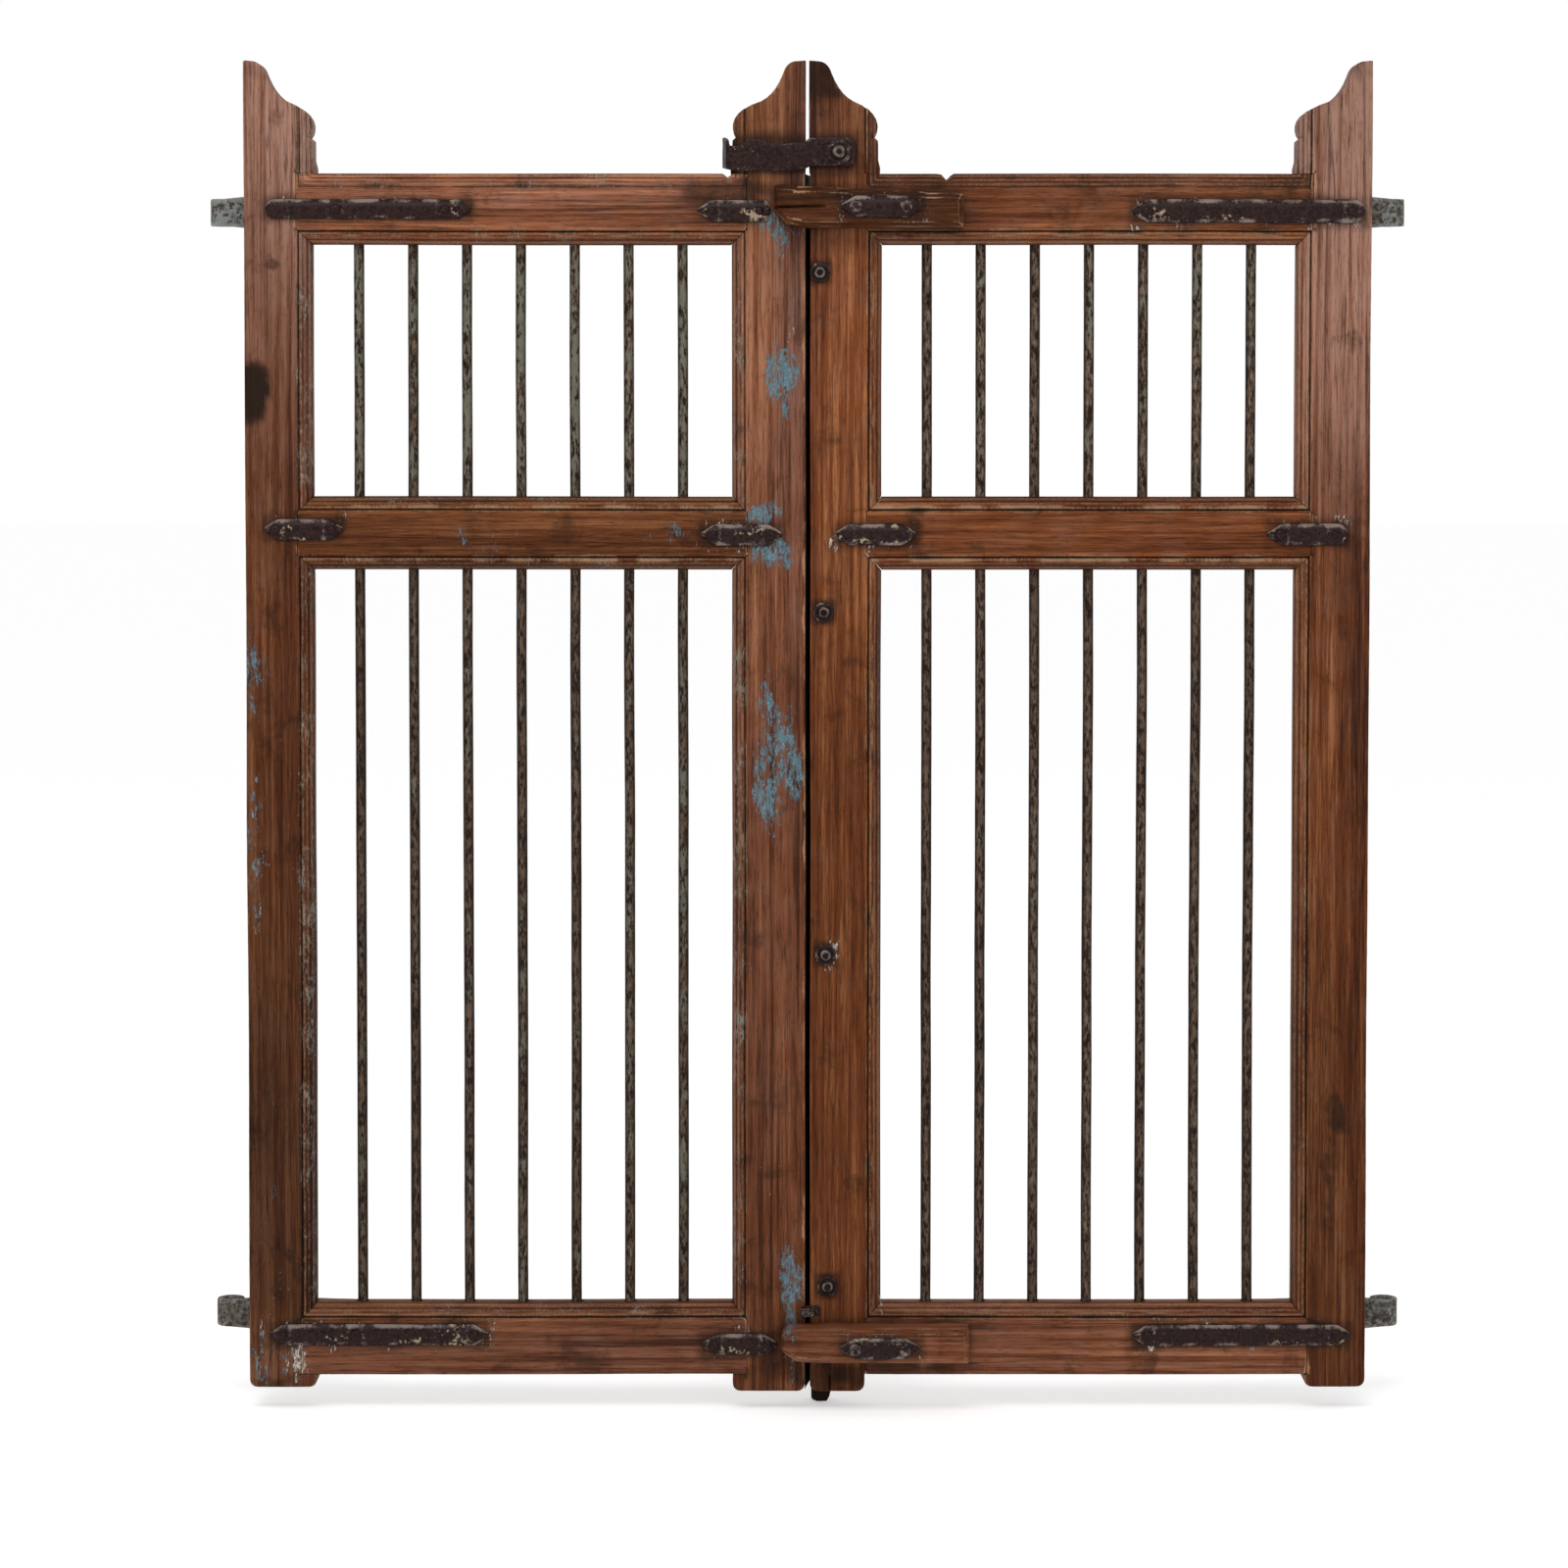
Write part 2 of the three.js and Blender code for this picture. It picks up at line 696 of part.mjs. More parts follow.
let hasp = extrudeY(haspShape, haspFront, haspBack);
hasp = hasp.add(extrudeZ(hookSide, 1269, 1302));
hasp = hasp.subtract(
  cylinderY(haspPivot.boltRadius + 0.5, haspPivot.x, haspPivot.z, haspFront - 1, haspBack + 1, 16),
);
addPiece('hasp', hasp, darkIron);

// The hasp turns on this bolt, under a round washer; its nut is behind the head.
const washerFace = haspFront - 0.4;
const haspBoltProfile = [
  [0, washerFace - 9],
  [4, washerFace - 9],
  [6.5, washerFace - 6.5],
  [6.5, washerFace - 2.2],
  [12.5, washerFace - 2.2],
  [12.5, washerFace],
  [haspPivot.boltRadius, washerFace],
  [haspPivot.boltRadius, leafBack + fitGap],
  [9, leafBack + fitGap],
  [9, leafBack + fitGap + 6],
  [0, leafBack + fitGap + 6],
];
addPiece('hasp_bolt', turned(haspBoltProfile, haspPivot.x, haspPivot.z, 16), darkIron);

// ---- small eye on the right leaf, in front of the gap ----

const keeper = { x: -1, zLow: 98, zHigh: 110, radius: 8, bore: 4.2, plate: 3 };
const keeperBack = leafFront - fitGap;
const keeperY = keeperBack - keeper.radius;
let keeperEye = cylinderZ(keeper.radius, keeper.x, keeperY, keeper.zLow, keeper.zHigh, 18);
keeperEye = keeperEye.add(
  box(keeper.x, 13, keeperBack - keeper.plate, keeperBack, keeper.zLow, keeper.zHigh),
);
keeperEye = keeperEye.subtract(
  cylinderZ(keeper.bore, keeper.x, keeperY, keeper.zLow - 1, keeper.zHigh + 1, 18),
);
addPiece('keeper_eye', keeperEye, darkIron);

// ---- hinge pins, one in each eye ----

for (const [sideName, side] of [
  ['left', -1],
  ['right', 1],
]) {
  for (const [place, z] of [
    ['top', topBandZ],
    ['bottom', bottomBandZ],
  ]) {
    const low = z - eyeHeight / 2;
    const pin = cylinderZ(pinRadius, side * hingeX, eyeY, low, low + eyeHeight - 8, 24);
    addPiece(`${sideName}_${place}_pin`, pin, darkIron);
  }
}

export default gate;
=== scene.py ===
import math

import bmesh
import bpy
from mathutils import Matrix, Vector, noise


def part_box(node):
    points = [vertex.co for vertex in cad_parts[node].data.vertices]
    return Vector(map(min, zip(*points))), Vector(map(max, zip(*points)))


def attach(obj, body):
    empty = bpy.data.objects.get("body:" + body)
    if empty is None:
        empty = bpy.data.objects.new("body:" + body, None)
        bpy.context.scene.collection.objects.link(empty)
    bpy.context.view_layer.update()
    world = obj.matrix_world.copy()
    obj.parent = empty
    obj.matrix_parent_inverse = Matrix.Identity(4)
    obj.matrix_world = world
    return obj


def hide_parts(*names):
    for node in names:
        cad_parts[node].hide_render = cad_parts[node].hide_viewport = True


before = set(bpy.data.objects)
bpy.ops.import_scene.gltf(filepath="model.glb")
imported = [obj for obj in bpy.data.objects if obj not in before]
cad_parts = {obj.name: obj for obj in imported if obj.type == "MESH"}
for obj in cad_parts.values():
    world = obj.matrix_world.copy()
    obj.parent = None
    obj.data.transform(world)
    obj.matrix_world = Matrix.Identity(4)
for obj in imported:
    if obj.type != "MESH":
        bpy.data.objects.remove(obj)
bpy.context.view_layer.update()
print("frame loaded,", len(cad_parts), "nodes")

mm = 0.001
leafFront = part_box("left_hanging_stile")[0].y
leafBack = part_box("left_hanging_stile")[1].y

studio = {
    "skyLight": 0.70,
    "skyShown": 1.0,
    "keyPower": 60.0,
    "keyPlace": (-0.5, -2.3, 3.1),
    "keyAim": (0.0, 0.0, 0.75),
    "keySize": (2.6, 1.2),
    "fillPower": 10.0,
    "fillPlace": (2.6, -3.2, 1.2),
    "fillSize": (1.5, 1.5),
    "floorColour": (0.80, 0.80, 0.80, 1),
    "floorGlow": 0.42,
    "floorSize": 60.0,
}

view = {
    "side": -0.024,
    "distance": 4.35,
    "height": 1.04,
    "tilt": 2.6,
    "lens": 98.3,
    "shiftX": 0.0,
    "shiftY": -0.1235,
}


def makeStudio():
    scene = bpy.context.scene
    scene.view_settings.view_transform = "Standard"
    world = bpy.data.worlds.new("paleSky")
    scene.world = world
    world.use_nodes = True
    nodes, links = world.node_tree.nodes, world.node_tree.links
    nodes.clear()
    shown = nodes.new("ShaderNodeBackground")
    shown.inputs["Strength"].default_value = studio["skyShown"]
    shown.inputs["Color"].default_value = (1, 1, 1, 1)
    lit = nodes.new("ShaderNodeBackground")
    lit.inputs["Strength"].default_value = studio["skyLight"]
    lit.inputs["Color"].default_value = (1, 1, 1, 1)
    path = nodes.new("ShaderNodeLightPath")
    mix = nodes.new("ShaderNodeMixShader")
    out = nodes.new("ShaderNodeOutputWorld")
    links.new(path.outputs["Is Camera Ray"], mix.inputs[0])
    links.new(lit.outputs[0], mix.inputs[1])
    links.new(shown.outputs[0], mix.inputs[2])
    links.new(mix.outputs[0], out.inputs[0])

    half = studio["floorSize"] / 2
    mesh = bpy.data.meshes.new("floor")
    mesh.from_pydata(
        [(-half, -half, 0), (half, -half, 0), (half, half, 0), (-half, half, 0)], [], [(0, 1, 2, 3)]
    )
    floor = bpy.data.objects.new("floor", mesh)
    scene.collection.objects.link(floor)
    paint = bpy.data.materials.new("floorPaint")
    paint.use_nodes = True
    shader = paint.node_tree.nodes["Principled BSDF"]
    shader.inputs["Base Color"].default_value = studio["floorColour"]
    shader.inputs["Roughness"].default_value = 0.9
    shader.inputs["Specular IOR Level"].default_value = 0.1
    shader.inputs["Emission Color"].default_value = (1, 1, 1, 1)
    shader.inputs["Emission Strength"].default_value = studio["floorGlow"]
    mesh.materials.append(paint)

    def softBox(name, power, place, aim, size):
        light = bpy.data.lights.new(name, "AREA")
        light.shape = "RECTANGLE"
        light.size, light.size_y = size
        light.energy = power
        lamp = bpy.data.objects.new(name, light)
        lamp.location = place
        lamp.rotation_euler = (Vector(aim) - Vector(place)).to_track_quat("-Z", "Y").to_euler()
        scene.collection.objects.link(lamp)

    softBox("keyLight", studio["keyPower"], studio["keyPlace"], studio["keyAim"], studio["keySize"])
    softBox("fillLight", studio["fillPower"], studio["fillPlace"], studio["keyAim"], studio["fillSize"])

    camera = bpy.data.cameras.new("camera")
    camera.sensor_width = 36
    camera.lens = view["lens"]
    camera.shift_x = view["shiftX"]
    camera.shift_y = view["shiftY"]
    camera.clip_end = 60
    eye = bpy.data.objects.new("camera", camera)
    eye.location = (view["side"], leafFront - view["distance"], view["height"])
    eye.rotation_euler = (math.radians(90 - view["tilt"]), 0, 0)
    scene.collection.objects.link(eye)
    scene.camera = eye


makeStudio()
print("studio ready")

# a node of the given kind: settings are its properties, sockets its inputs by name or number
def addNode(tree, kind, sockets=None, **settings):
    made = tree.nodes.new(kind)
    for name, value in settings.items():
        setattr(made, name, value)
    for key, value in (sockets or {}).items():
        plug(tree, made.inputs[key], value)
    return made


def plug(tree, socket, value):
    if isinstance(value, bpy.types.NodeSocket):
        tree.links.new(value, socket)
    else:
        socket.default_value = value


def newMaterial(name):
    material = bpy.data.materials.new(name)
    material.use_nodes = True
    tree = material.node_tree
    return material, tree, tree.nodes["Principled BSDF"]


def objectCoords(tree, scale):
    coords = addNode(tree, "ShaderNodeTexCoord").outputs["Object"]
    return addNode(tree, "ShaderNodeMapping", {"Vector": coords, "Scale": scale}).outputs["Vector"]


def noiseOf(tree, coords, scale, detail=3.0, rough=0.55, distortion=0.0):
    sockets = {"Vector": coords, "Scale": scale, "Detail": detail, "Roughness": rough}
    sockets["Distortion"] = distortion
    return addNode(tree, "ShaderNodeTexNoise", sockets).outputs["Fac"]


def sums(tree, kind, a, b=0.0):
    return addNode(tree, "ShaderNodeMath", {0: a, 1: b}, operation=kind).outputs[0]


# adds up pairs of a value and its weight
def weighted(tree, *pairs):
    total = None
    for value, weight in pairs:
        part = value if weight == 1 else sums(tree, "MULTIPLY", value, weight)
        total = part if total is None else sums(tree, "ADD", total, part)
    return total


def spread(tree, value, low, high, newLow=0.0, newHigh=1.0):
    sockets = {"Value": value, "From Min": low, "From Max": high, "To Min": newLow, "To Max": newHigh}
    return addNode(tree, "ShaderNodeMapRange", sockets, interpolation_type="SMOOTHSTEP").outputs["Result"]


def blendColour(tree, share, a, b):
    made = addNode(tree, "ShaderNodeMix", data_type="RGBA")
    plug(tree, made.inputs["Factor"], share)
    for label, colour in (("A", a), ("B", b)):
        socket = [s for s in made.inputs if s.name == label and s.type == "RGBA"][0]
        plug(tree, socket, (*colour, 1) if isinstance(colour, tuple) else colour)
    return [s for s in made.outputs if s.type == "RGBA"][0]


def painted(tree, name):
    return addNode(tree, "ShaderNodeAttribute", attribute_name=name).outputs["Fac"]


def bumpFrom(tree, height, strength, distance):
    sockets = {"Strength": strength, "Distance": distance, "Height": height}
    return addNode(tree, "ShaderNodeBump", sockets).outputs["Normal"]


teakLook = {
    "dark": (0.030, 0.0075, 0.0025),
    "middle": (0.125, 0.034, 0.0095),
    "light": (0.300, 0.112, 0.040),
    "bleachedAndSheen": (0.29, 0.1612, 0.1216),
    "line": (0.020, 0.006, 0.0025),
    "stain": (0.032, 0.012, 0.006),
    "dirt": (0.010, 0.006, 0.004),
    "worn": (0.34, 0.19, 0.10),
    "highlightedRidge": (0.27, 0.20, 0.15),
    "bluePaint": (0.075, 0.150, 0.185),
    "bluePale": (0.20, 0.275, 0.29),
    "palePaint": (0.50, 0.47, 0.42),
    "greyPaint": (0.20, 0.185, 0.15),
    "specular": 0.06,
}

# lines along the moulding, painted shade in the grooves and painted highlights on the ridges: distance from
# the opening, half width, strength
mouldingShadeLines = ((0.4, 0.8, 0.75), (4.6, 1.0, 0.85), (8.6, 0.8, 0.65), (13.3, 1.2, 1.0))
mouldingHighlightLines = ((2.3, 1.1, 0.45), (6.6, 1.1, 0.40), (10.9, 1.2, 0.50))


# grain is "x" or "z": the way the fibres run
def makeTeak(name, grain):
    material, tree, shader = newMaterial(name)
    look = teakLook

    def along(across, length):
        return (length, across, across) if grain == "x" else (across, across, length)

    broad = noiseOf(tree, objectCoords(tree, along(17, 1.1)), 1.0, 3, 0.5, 0.3)
    streak = noiseOf(tree, objectCoords(tree, along(190, 3.4)), 1.0, 5, 0.66, 0.25)
    fine = noiseOf(tree, objectCoords(tree, along(520, 20)), 1.0, 4, 0.7)
    pores = noiseOf(tree, objectCoords(tree, along(700, 62)), 1.0, 4, 0.72)
    contour = noiseOf(tree, objectCoords(tree, along(42, 1.2)), 1.0, 3, 0.5, 0.2)
    speckle = noiseOf(tree, objectCoords(tree, (420, 420, 420)), 1.0, 5, 0.7)
    blotch = noiseOf(tree, objectCoords(tree, (24, 24, 24)), 1.0, 5, 0.62, 0.4)
    flakeFine = noiseOf(tree, objectCoords(tree, (400, 400, 130)), 1.0, 6, 0.78)
    flakeWide = noiseOf(tree, objectCoords(tree, (58, 58, 24)), 1.0, 4, 0.6, 0.3)

    figure = weighted(tree, (broad, 0.34), (streak, 0.38), (fine, 0.28))
    darkShare = spread(tree, figure, 0.38, 0.50)
    lightShare = spread(tree, figure, 0.485, 0.63)
    colour = blendColour(tree, darkShare, look["dark"], look["middle"])
    colour = blendColour(tree, lightShare, colour, look["light"])
    # paler where the wood is bleached, and towards the top also painted sheen
    bleachAndSheen = sums(tree, "MULTIPLY", painted(tree, "bleachAndSheen"), spread(tree, streak, 0.36, 0.58, 0.25, 1.0))
    colour = blendColour(tree, bleachAndSheen, colour, look["bleachedAndSheen"])
    ripple = sums(tree, "MULTIPLY", contour, 9.0)
    ripple = sums(tree, "ABSOLUTE", sums(tree, "SUBTRACT", sums(tree, "FRACT", ripple), 0.5))
    nearLine = spread(tree, ripple, 0.0, 0.14, 0.7, 0.0)
    lineShare = sums(tree, "MULTIPLY", nearLine, spread(tree, fine, 0.40, 0.60))
    colour = blendColour(tree, lineShare, colour, look["line"])
    poreShare = spread(tree, pores, 0.53, 0.70, 0.0, 0.52)
    colour = blendColour(tree, poreShare, colour, look["line"])
    stain = spread(tree, blotch, 0.55, 0.72, 0.0, 0.62)
    colour = blendColour(tree, stain, colour, look["stain"])
    # lightness: painted light from above, darker towards the bottom, with each piece's own tone
    lightness = sums(tree, "ADD", painted(tree, "tone"), 1.0)
    toned = addNode(tree, "ShaderNodeHueSaturation", {"Color": colour, "Value": lightness})
    colour = toned.outputs["Color"]

    wornNoise = weighted(tree, (painted(tree, "wear"), 1), (flakeFine, 0.9))
    wornShare = spread(tree, wornNoise, 0.82, 1.22, 0.0, 0.8)
    colour = blendColour(tree, wornShare, colour, look["worn"])

    wobble = sums(tree, "MULTIPLY", sums(tree, "SUBTRACT", speckle, 0.5), 2.2)
    away = sums(tree, "ADD", painted(tree, "moulding"), wobble)

    def linesAt(lines):
        share = 0.0
        for place, half, strength in lines:
            apart = sums(tree, "ABSOLUTE", sums(tree, "SUBTRACT", away, place))
            share = sums(tree, "MAXIMUM", share, spread(tree, apart, 0.0, half, strength, 0.0))
        return share

    # painted highlights on the moulding's ridges and painted shade in its grooves
    ridgeHighlight = sums(tree, "MULTIPLY", linesAt(mouldingHighlightLines), spread(tree, flakeFine, 0.42, 0.60))
    colour = blendColour(tree, ridgeHighlight, colour, look["highlightedRidge"])
    grooveShade = sums(tree, "MULTIPLY", linesAt(mouldingShadeLines), spread(tree, blotch, 0.30, 0.50, 0.45, 1.0))
    # darker with dirt, and with painted shade in creases, grooves, the meeting gap and around the iron
    dirtAndShadeNoise = weighted(tree, (painted(tree, "dirt"), 1), (blotch, 0.5))
    dirtAndShadeShare = spread(tree, dirtAndShadeNoise, 0.42, 1.05, 0.0, 0.93)
    dirtAndShadeShare = sums(tree, "MAXIMUM", dirtAndShadeShare, sums(tree, "MULTIPLY", grooveShade, 0.9))
    colour = blendColour(tree, dirtAndShadeShare, colour, look["dirt"])

    flake = weighted(tree, (flakeFine, 0.72), (flakeWide, 0.28))

    # how far a kind of old paint covers the wood
    def paintCover(kind, low, high, most):
        return spread(tree, sums(tree, "ADD", flake, painted(tree, kind)), low, high, 0.0, most)

    greyShare = paintCover("greyPaint", 0.72, 0.80, 0.8)
    colour = blendColour(tree, greyShare, colour, look["greyPaint"])
    paleShare = paintCover("palePaint", 0.745, 0.79, 0.88)
    colour = blendColour(tree, paleShare, colour, look["palePaint"])
    blueTint = blendColour(tree, spread(tree, speckle, 0.50, 0.68), look["bluePaint"], look["bluePale"])
    blueShare = paintCover("bluePaint", 0.735, 0.80, 0.86)
    colour = blendColour(tree, blueShare, colour, blueTint)
    tree.links.new(colour, shader.inputs["Base Color"])

    rough = weighted(tree, (spread(tree, fine, 0.3, 0.7, 0.42, 0.58), 1), (dirtAndShadeShare, 0.2))
    tree.links.new(rough, shader.inputs["Roughness"])
    shader.inputs["Specular IOR Level"].default_value = look["specular"]
    height = weighted(
        tree, (fine, 0.7), (poreShare, -0.5), (streak, 0.9), (lineShare, -0.25), (grooveShade, -0.8),
        (blueShare, 0.3), (paleShare, 0.3),
    )
    tree.links.new(bumpFrom(tree, height, 0.75, 0.0013), shader.inputs["Normal"])
    return material


teakUpright = makeTeak("teakUpright", "z")
teakLevel = makeTeak("teakLevel", "x")

ironLooks = {
    "strapIron": {
        "dark": (0.0065, 0.0032, 0.0032),
        "middle": (0.027, 0.0132, 0.0118),
        "mottle": (0.28, 0.66),
        "rubbedAndHighlight": (0.19, 0.145, 0.125),
        "paint": (0.32, 0.245, 0.165),
        "paintFrom": 0.615,
        "stretch": (340, 340, 340),
        "rough": (0.22, 0.42),
        "specular": 0.08,
        "bump": 0.4,
    },
    "barIron": {
        "dark": (0.011, 0.0055, 0.0035),
        "middle": (0.105, 0.068, 0.045),
        "rubbedAndHighlight": (0.42, 0.34, 0.26),
        "paint": (0.115, 0.110, 0.082),
        "paintFrom": 0.545,
        "mottle": (0.40, 0.58),
        "stretch": (370, 370, 115),
        "rough": (0.45, 0.65),
        "specular": 0.08,
        "bump": 0.6,
    },
    "bandIron": {
        "dark": (0.035, 0.026, 0.020),
        "middle": (0.12, 0.105, 0.088),
        "rubbedAndHighlight": (0.30, 0.29, 0.27),
        "paint": (0.17, 0.19, 0.18),
        "paintFrom": 0.53,
        "mottle": (0.40, 0.58),
        "stretch": (280, 280, 280),
        "rough": (0.40, 0.60),
        "specular": 0.12,
        "bump": 0.8,
    },
}


def makeIron(name):
    look = ironLooks[name]
    material, tree, shader = newMaterial(name)
    coords = objectCoords(tree, look["stretch"])
    mottle = noiseOf(tree, coords, 1.0, 5, 0.68)
    wide = noiseOf(tree, coords, 0.2, 4, 0.62, 0.3)
    pits = noiseOf(tree, objectCoords(tree, (900, 900, 900)), 1.0, 3, 0.6)
    grime = noiseOf(tree, coords, 0.33, 4, 0.6)
    colour = blendColour(tree, spread(tree, mottle, *look["mottle"]), look["dark"], look["middle"])
    # the rubbed colour stands for worn metal and for painted highlights on strap rims, bar middles and wire
    # turns
    rubAndHighlight = weighted(tree, (mottle, 0.8), (painted(tree, "wear"), 1))
    colour = blendColour(tree, spread(tree, rubAndHighlight, 0.52, 0.88, 0.0, 0.9), colour, look["rubbedAndHighlight"])
    flakes = weighted(tree, (wide, 0.5), (mottle, 0.5), (painted(tree, "paintLeft"), 1))
    paintShare = spread(tree, flakes, look["paintFrom"], look["paintFrom"] + 0.045, 0.0, 0.88)
    colour = blendColour(tree, paintShare, colour, look["paint"])
    # darker with grime, and with painted shade along strap sides, bar sides, under heads and at their feet
    dirtAndShadeNoise = weighted(tree, (painted(tree, "dirt"), 1), (grime, 0.55))
    dirt = spread(tree, dirtAndShadeNoise, 0.27, 0.75, 0.0, 0.95)
    colour = blendColour(tree, dirt, colour, look["dark"])
    tree.links.new(colour, shader.inputs["Base Color"])
    tree.links.new(spread(tree, mottle, 0.3, 0.7, *look["rough"]), shader.inputs["Roughness"])
    shader.inputs["Specular IOR Level"].default_value = look["specular"]
    height = weighted(tree, (mottle, 0.8), (pits, 0.35), (paintShare, 0.3))
    tree.links.new(bumpFrom(tree, height, look["bump"], 0.0012), shader.inputs["Normal"])
    return material


strapIron = makeIron("strapIron")
barIron = makeIron("barIron")
bandIron = makeIron("bandIron")
print("materials ready")

age = {
    "waveX": 0.9 * mm,
    "waveZ": 0.7 * mm,
    "waveY": 0.35 * mm,
    "arris": 0.55 * mm,
    "chip": 2.4 * mm,
}


def agedShift(p):
    a = noise.noise(Vector((p.x * 5.0, 3.1, p.z * 4.2)))
    b = noise.noise(Vector((p.x * 4.0 + 9.0, 7.7, p.z * 5.0)))
    c = noise.noise(Vector((p.x * 6.0, 1.3, p.z * 6.0 + 5.0)))
    return Vector((a * age["waveX"], c * age["waveY"], b * age["waveZ"]))


# a piece's name is its CAD node's, written as one word
def pieceName(node):
    first, *rest = node.split("_")
    return first + "".join(word.capitalize() for word in rest)


def middleOf(node, axes):
    low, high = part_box(node)
    return tuple((low[axis] + high[axis]) / 2 for axis in axes)


def clampTo(value, low=0.0, high=1.0):
    return max(low, min(high, value))


# how far (x, z) is from a rectangle (x1, x2, z1, z2), 0 inside it
def boxDistance(x, z, place):
    dx = max(place[0] - x, 0, x - place[1])
    dz = max(place[2] - z, 0, z - place[3])
    return math.hypot(dx, dz)


def frontBox(node):
    low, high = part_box(node)
    return (low.x, high.x, low.z, high.z)


ironPlates = [frontBox(n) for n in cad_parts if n.endswith("_strap")]
ironRounds = [frontBox(n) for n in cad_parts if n.startswith("cover_stud") or n == "hasp_bolt"]
cleatPlates = [frontBox("top_cleat"), frontBox("bottom_cleat")]
haspPlate = frontBox("hasp")

# paint remains in millimetres: x, z, half width, half height, share of the wood that is covered
paintRemains = {
    "bluePaint": [
        (-27, 1066, 18, 27, 0.98), (-20, 1028, 7, 14, 0.85), (-20, 995, 9, 18, 0.6),
        (-15, 1130, 4, 14, 0.7), (-34, 1210, 13, 15, 0.98), (-24, 1198, 11, 14, 0.90),
        (-36, 1176, 9, 9, 0.75), (-24, 1156, 8, 10, 0.6), (-42, 924, 21, 15, 0.98),
        (-40, 877, 22, 14, 0.92), (-14, 890, 12, 20, 0.62), (-72, 905, 8, 26, 0.5),
        (-40, 738, 8, 28, 0.80), (-38, 700, 13, 30, 0.95), (-42, 650, 14, 34, 0.95),
        (-36, 612, 10, 26, 0.8), (-17, 672, 11, 42, 0.90), (-20, 742, 5, 22, 0.5),
        (-52, 462, 7, 50, 0.5), (-52, 380, 5, 30, 0.42), (-17, 128, 10, 44, 0.95),
        (-16, 44, 7, 16, 0.85), (-33, 160, 8, 20, 0.6), (-330, 893, 46, 10, 0.62),
        (-138, 902, 32, 12, 0.62), (-230, 896, 40, 6, 0.42), (-565, 757, 8, 44, 0.85),
        (-553, 750, 5, 26, 0.72), (-563, 585, 7, 84, 0.78), (-562, 665, 6, 24, 0.7),
        (-516, 570, 5, 34, 0.6), (-560, 180, 9, 56, 0.55), (-545, 214, 7, 30, 0.6),
        (-540, 120, 8, 30, 0.6), (-558, 56, 10, 32, 0.74), (-536, 52, 8, 20, 0.66),
        (-515, 60, 6, 20, 0.6), (-560, 330, 7, 60, 0.45),
    ],
    "palePaint": [
        (-14, 1109, 5, 7, 1.0), (-562, 590, 6, 100, 0.80), (-560, 690, 5, 40, 0.62),
        (-17, 40, 8, 16, 0.80), (-520, 50, 8, 24, 0.92), (-16, 996, 9, 12, 0.62), (72, 112, 5, 13, 0.9),
        (-560, 66, 7, 32, 0.82), (-536, 60, 8, 26, 0.70), (-548, 116, 9, 26, 0.62),
        (-20, 668, 10, 50, 0.55), (-548, 96, 14, 40, 0.55), (-500, 1222, 40, 16, 0.40),
        (-30, 200, 16, 50, 0.42), (-70, 1262, 18, 6, 0.6), (22, 472, 12, 20, 0.72),
        (330, 1228, 20, 14, 0.4), (-340, 900, 40, 8, 0.5), (152, 1234, 3, 6, 0.75),
        (160, 84, 3, 7, 0.75), (-60, 1150, 12, 30, 0.3), (-555, 1190, 8, 30, 0.3),
        (-516, 640, 4, 200, 0.35), (-548, 420, 16, 60, 0.35),
    ],
    "dirt": [
        (-563, 1043, 15, 26, 0.85), (541, 806, 7, 13, 0.50), (541, 310, 8, 17, 0.58),
        (534, 240, 5, 60, 0.55), (-556, 950, 8, 60, 0.35), (-40, 1355, 14, 14, 0.3),
        (17, 1362, 18, 18, 0.65), (-545, 300, 16, 200, 0.30), (-534, 640, 10, 160, 0.25),
        (-440, 1228, 120, 24, 0.20), (-80, 1244, 46, 14, 0.62), (30, 1262, 60, 10, 0.2),
        (130, 1226, 40, 20, 0.15), (-33, 1140, 14, 3, 0.35), (-180, 888, 110, 4, 0.30),
        (-360, 880, 90, 5, 0.28), (440, 1205, 60, 8, 0.2), (-540, 1180, 12, 60, 0.22),
        (-548, 30, 30, 8, 0.5), (60, 40, 110, 14, 0.6), (-60, 30, 30, 12, 0.4),
        (-548, 1368, 30, 10, 0.35), (545, 1368, 30, 10, 0.35),
    ],
}
fullCover = {"bluePaint": 0.295, "palePaint": 0.27, "dirt": 1.0}


def remainsAt(kind, x, z):
    x += 9 * noise.noise(Vector((x / 16, 4.0, z / 30))) + 4 * noise.noise(Vector((x / 6, 8.0, z / 10)))
    z += 14 * noise.noise(Vector((x / 18 + 7.0, 2.0, z / 34)))
    total = 0.0
    for cx, cz, hw, hh, strength in paintRemains[kind]:
        dx, dz = (x - cx) / hw, (z - cz) / hh
        reach = dx * dx + dz * dz
        if reach < 2.6:
            total = max(total, strength * clampTo(1.35 - reach * 0.52))
    return total * fullCover[kind]


# the leaves' openings in millimetres: x1, x2, and each opening's z1, z2
openings = {
    "left": (-503.5, -77.0, ((110.0, 863.0), (937.5, 1193.5), (1265.0, 1500.0))),
    "right": (75.0, 496.5, ((110.0, 863.0), (937.5, 1193.5), (1265.0, 1500.0))),
}
mouldingWidth = 14.5


# mitred distance in millimetres from (x, z) out to the nearest opening's edge
def nearOpening(side, x, z):
    x1, x2, heights = openings[side]
    return min(max(x1 - x, x - x2, z1 - z, z - z2) for z1, z2 in heights)
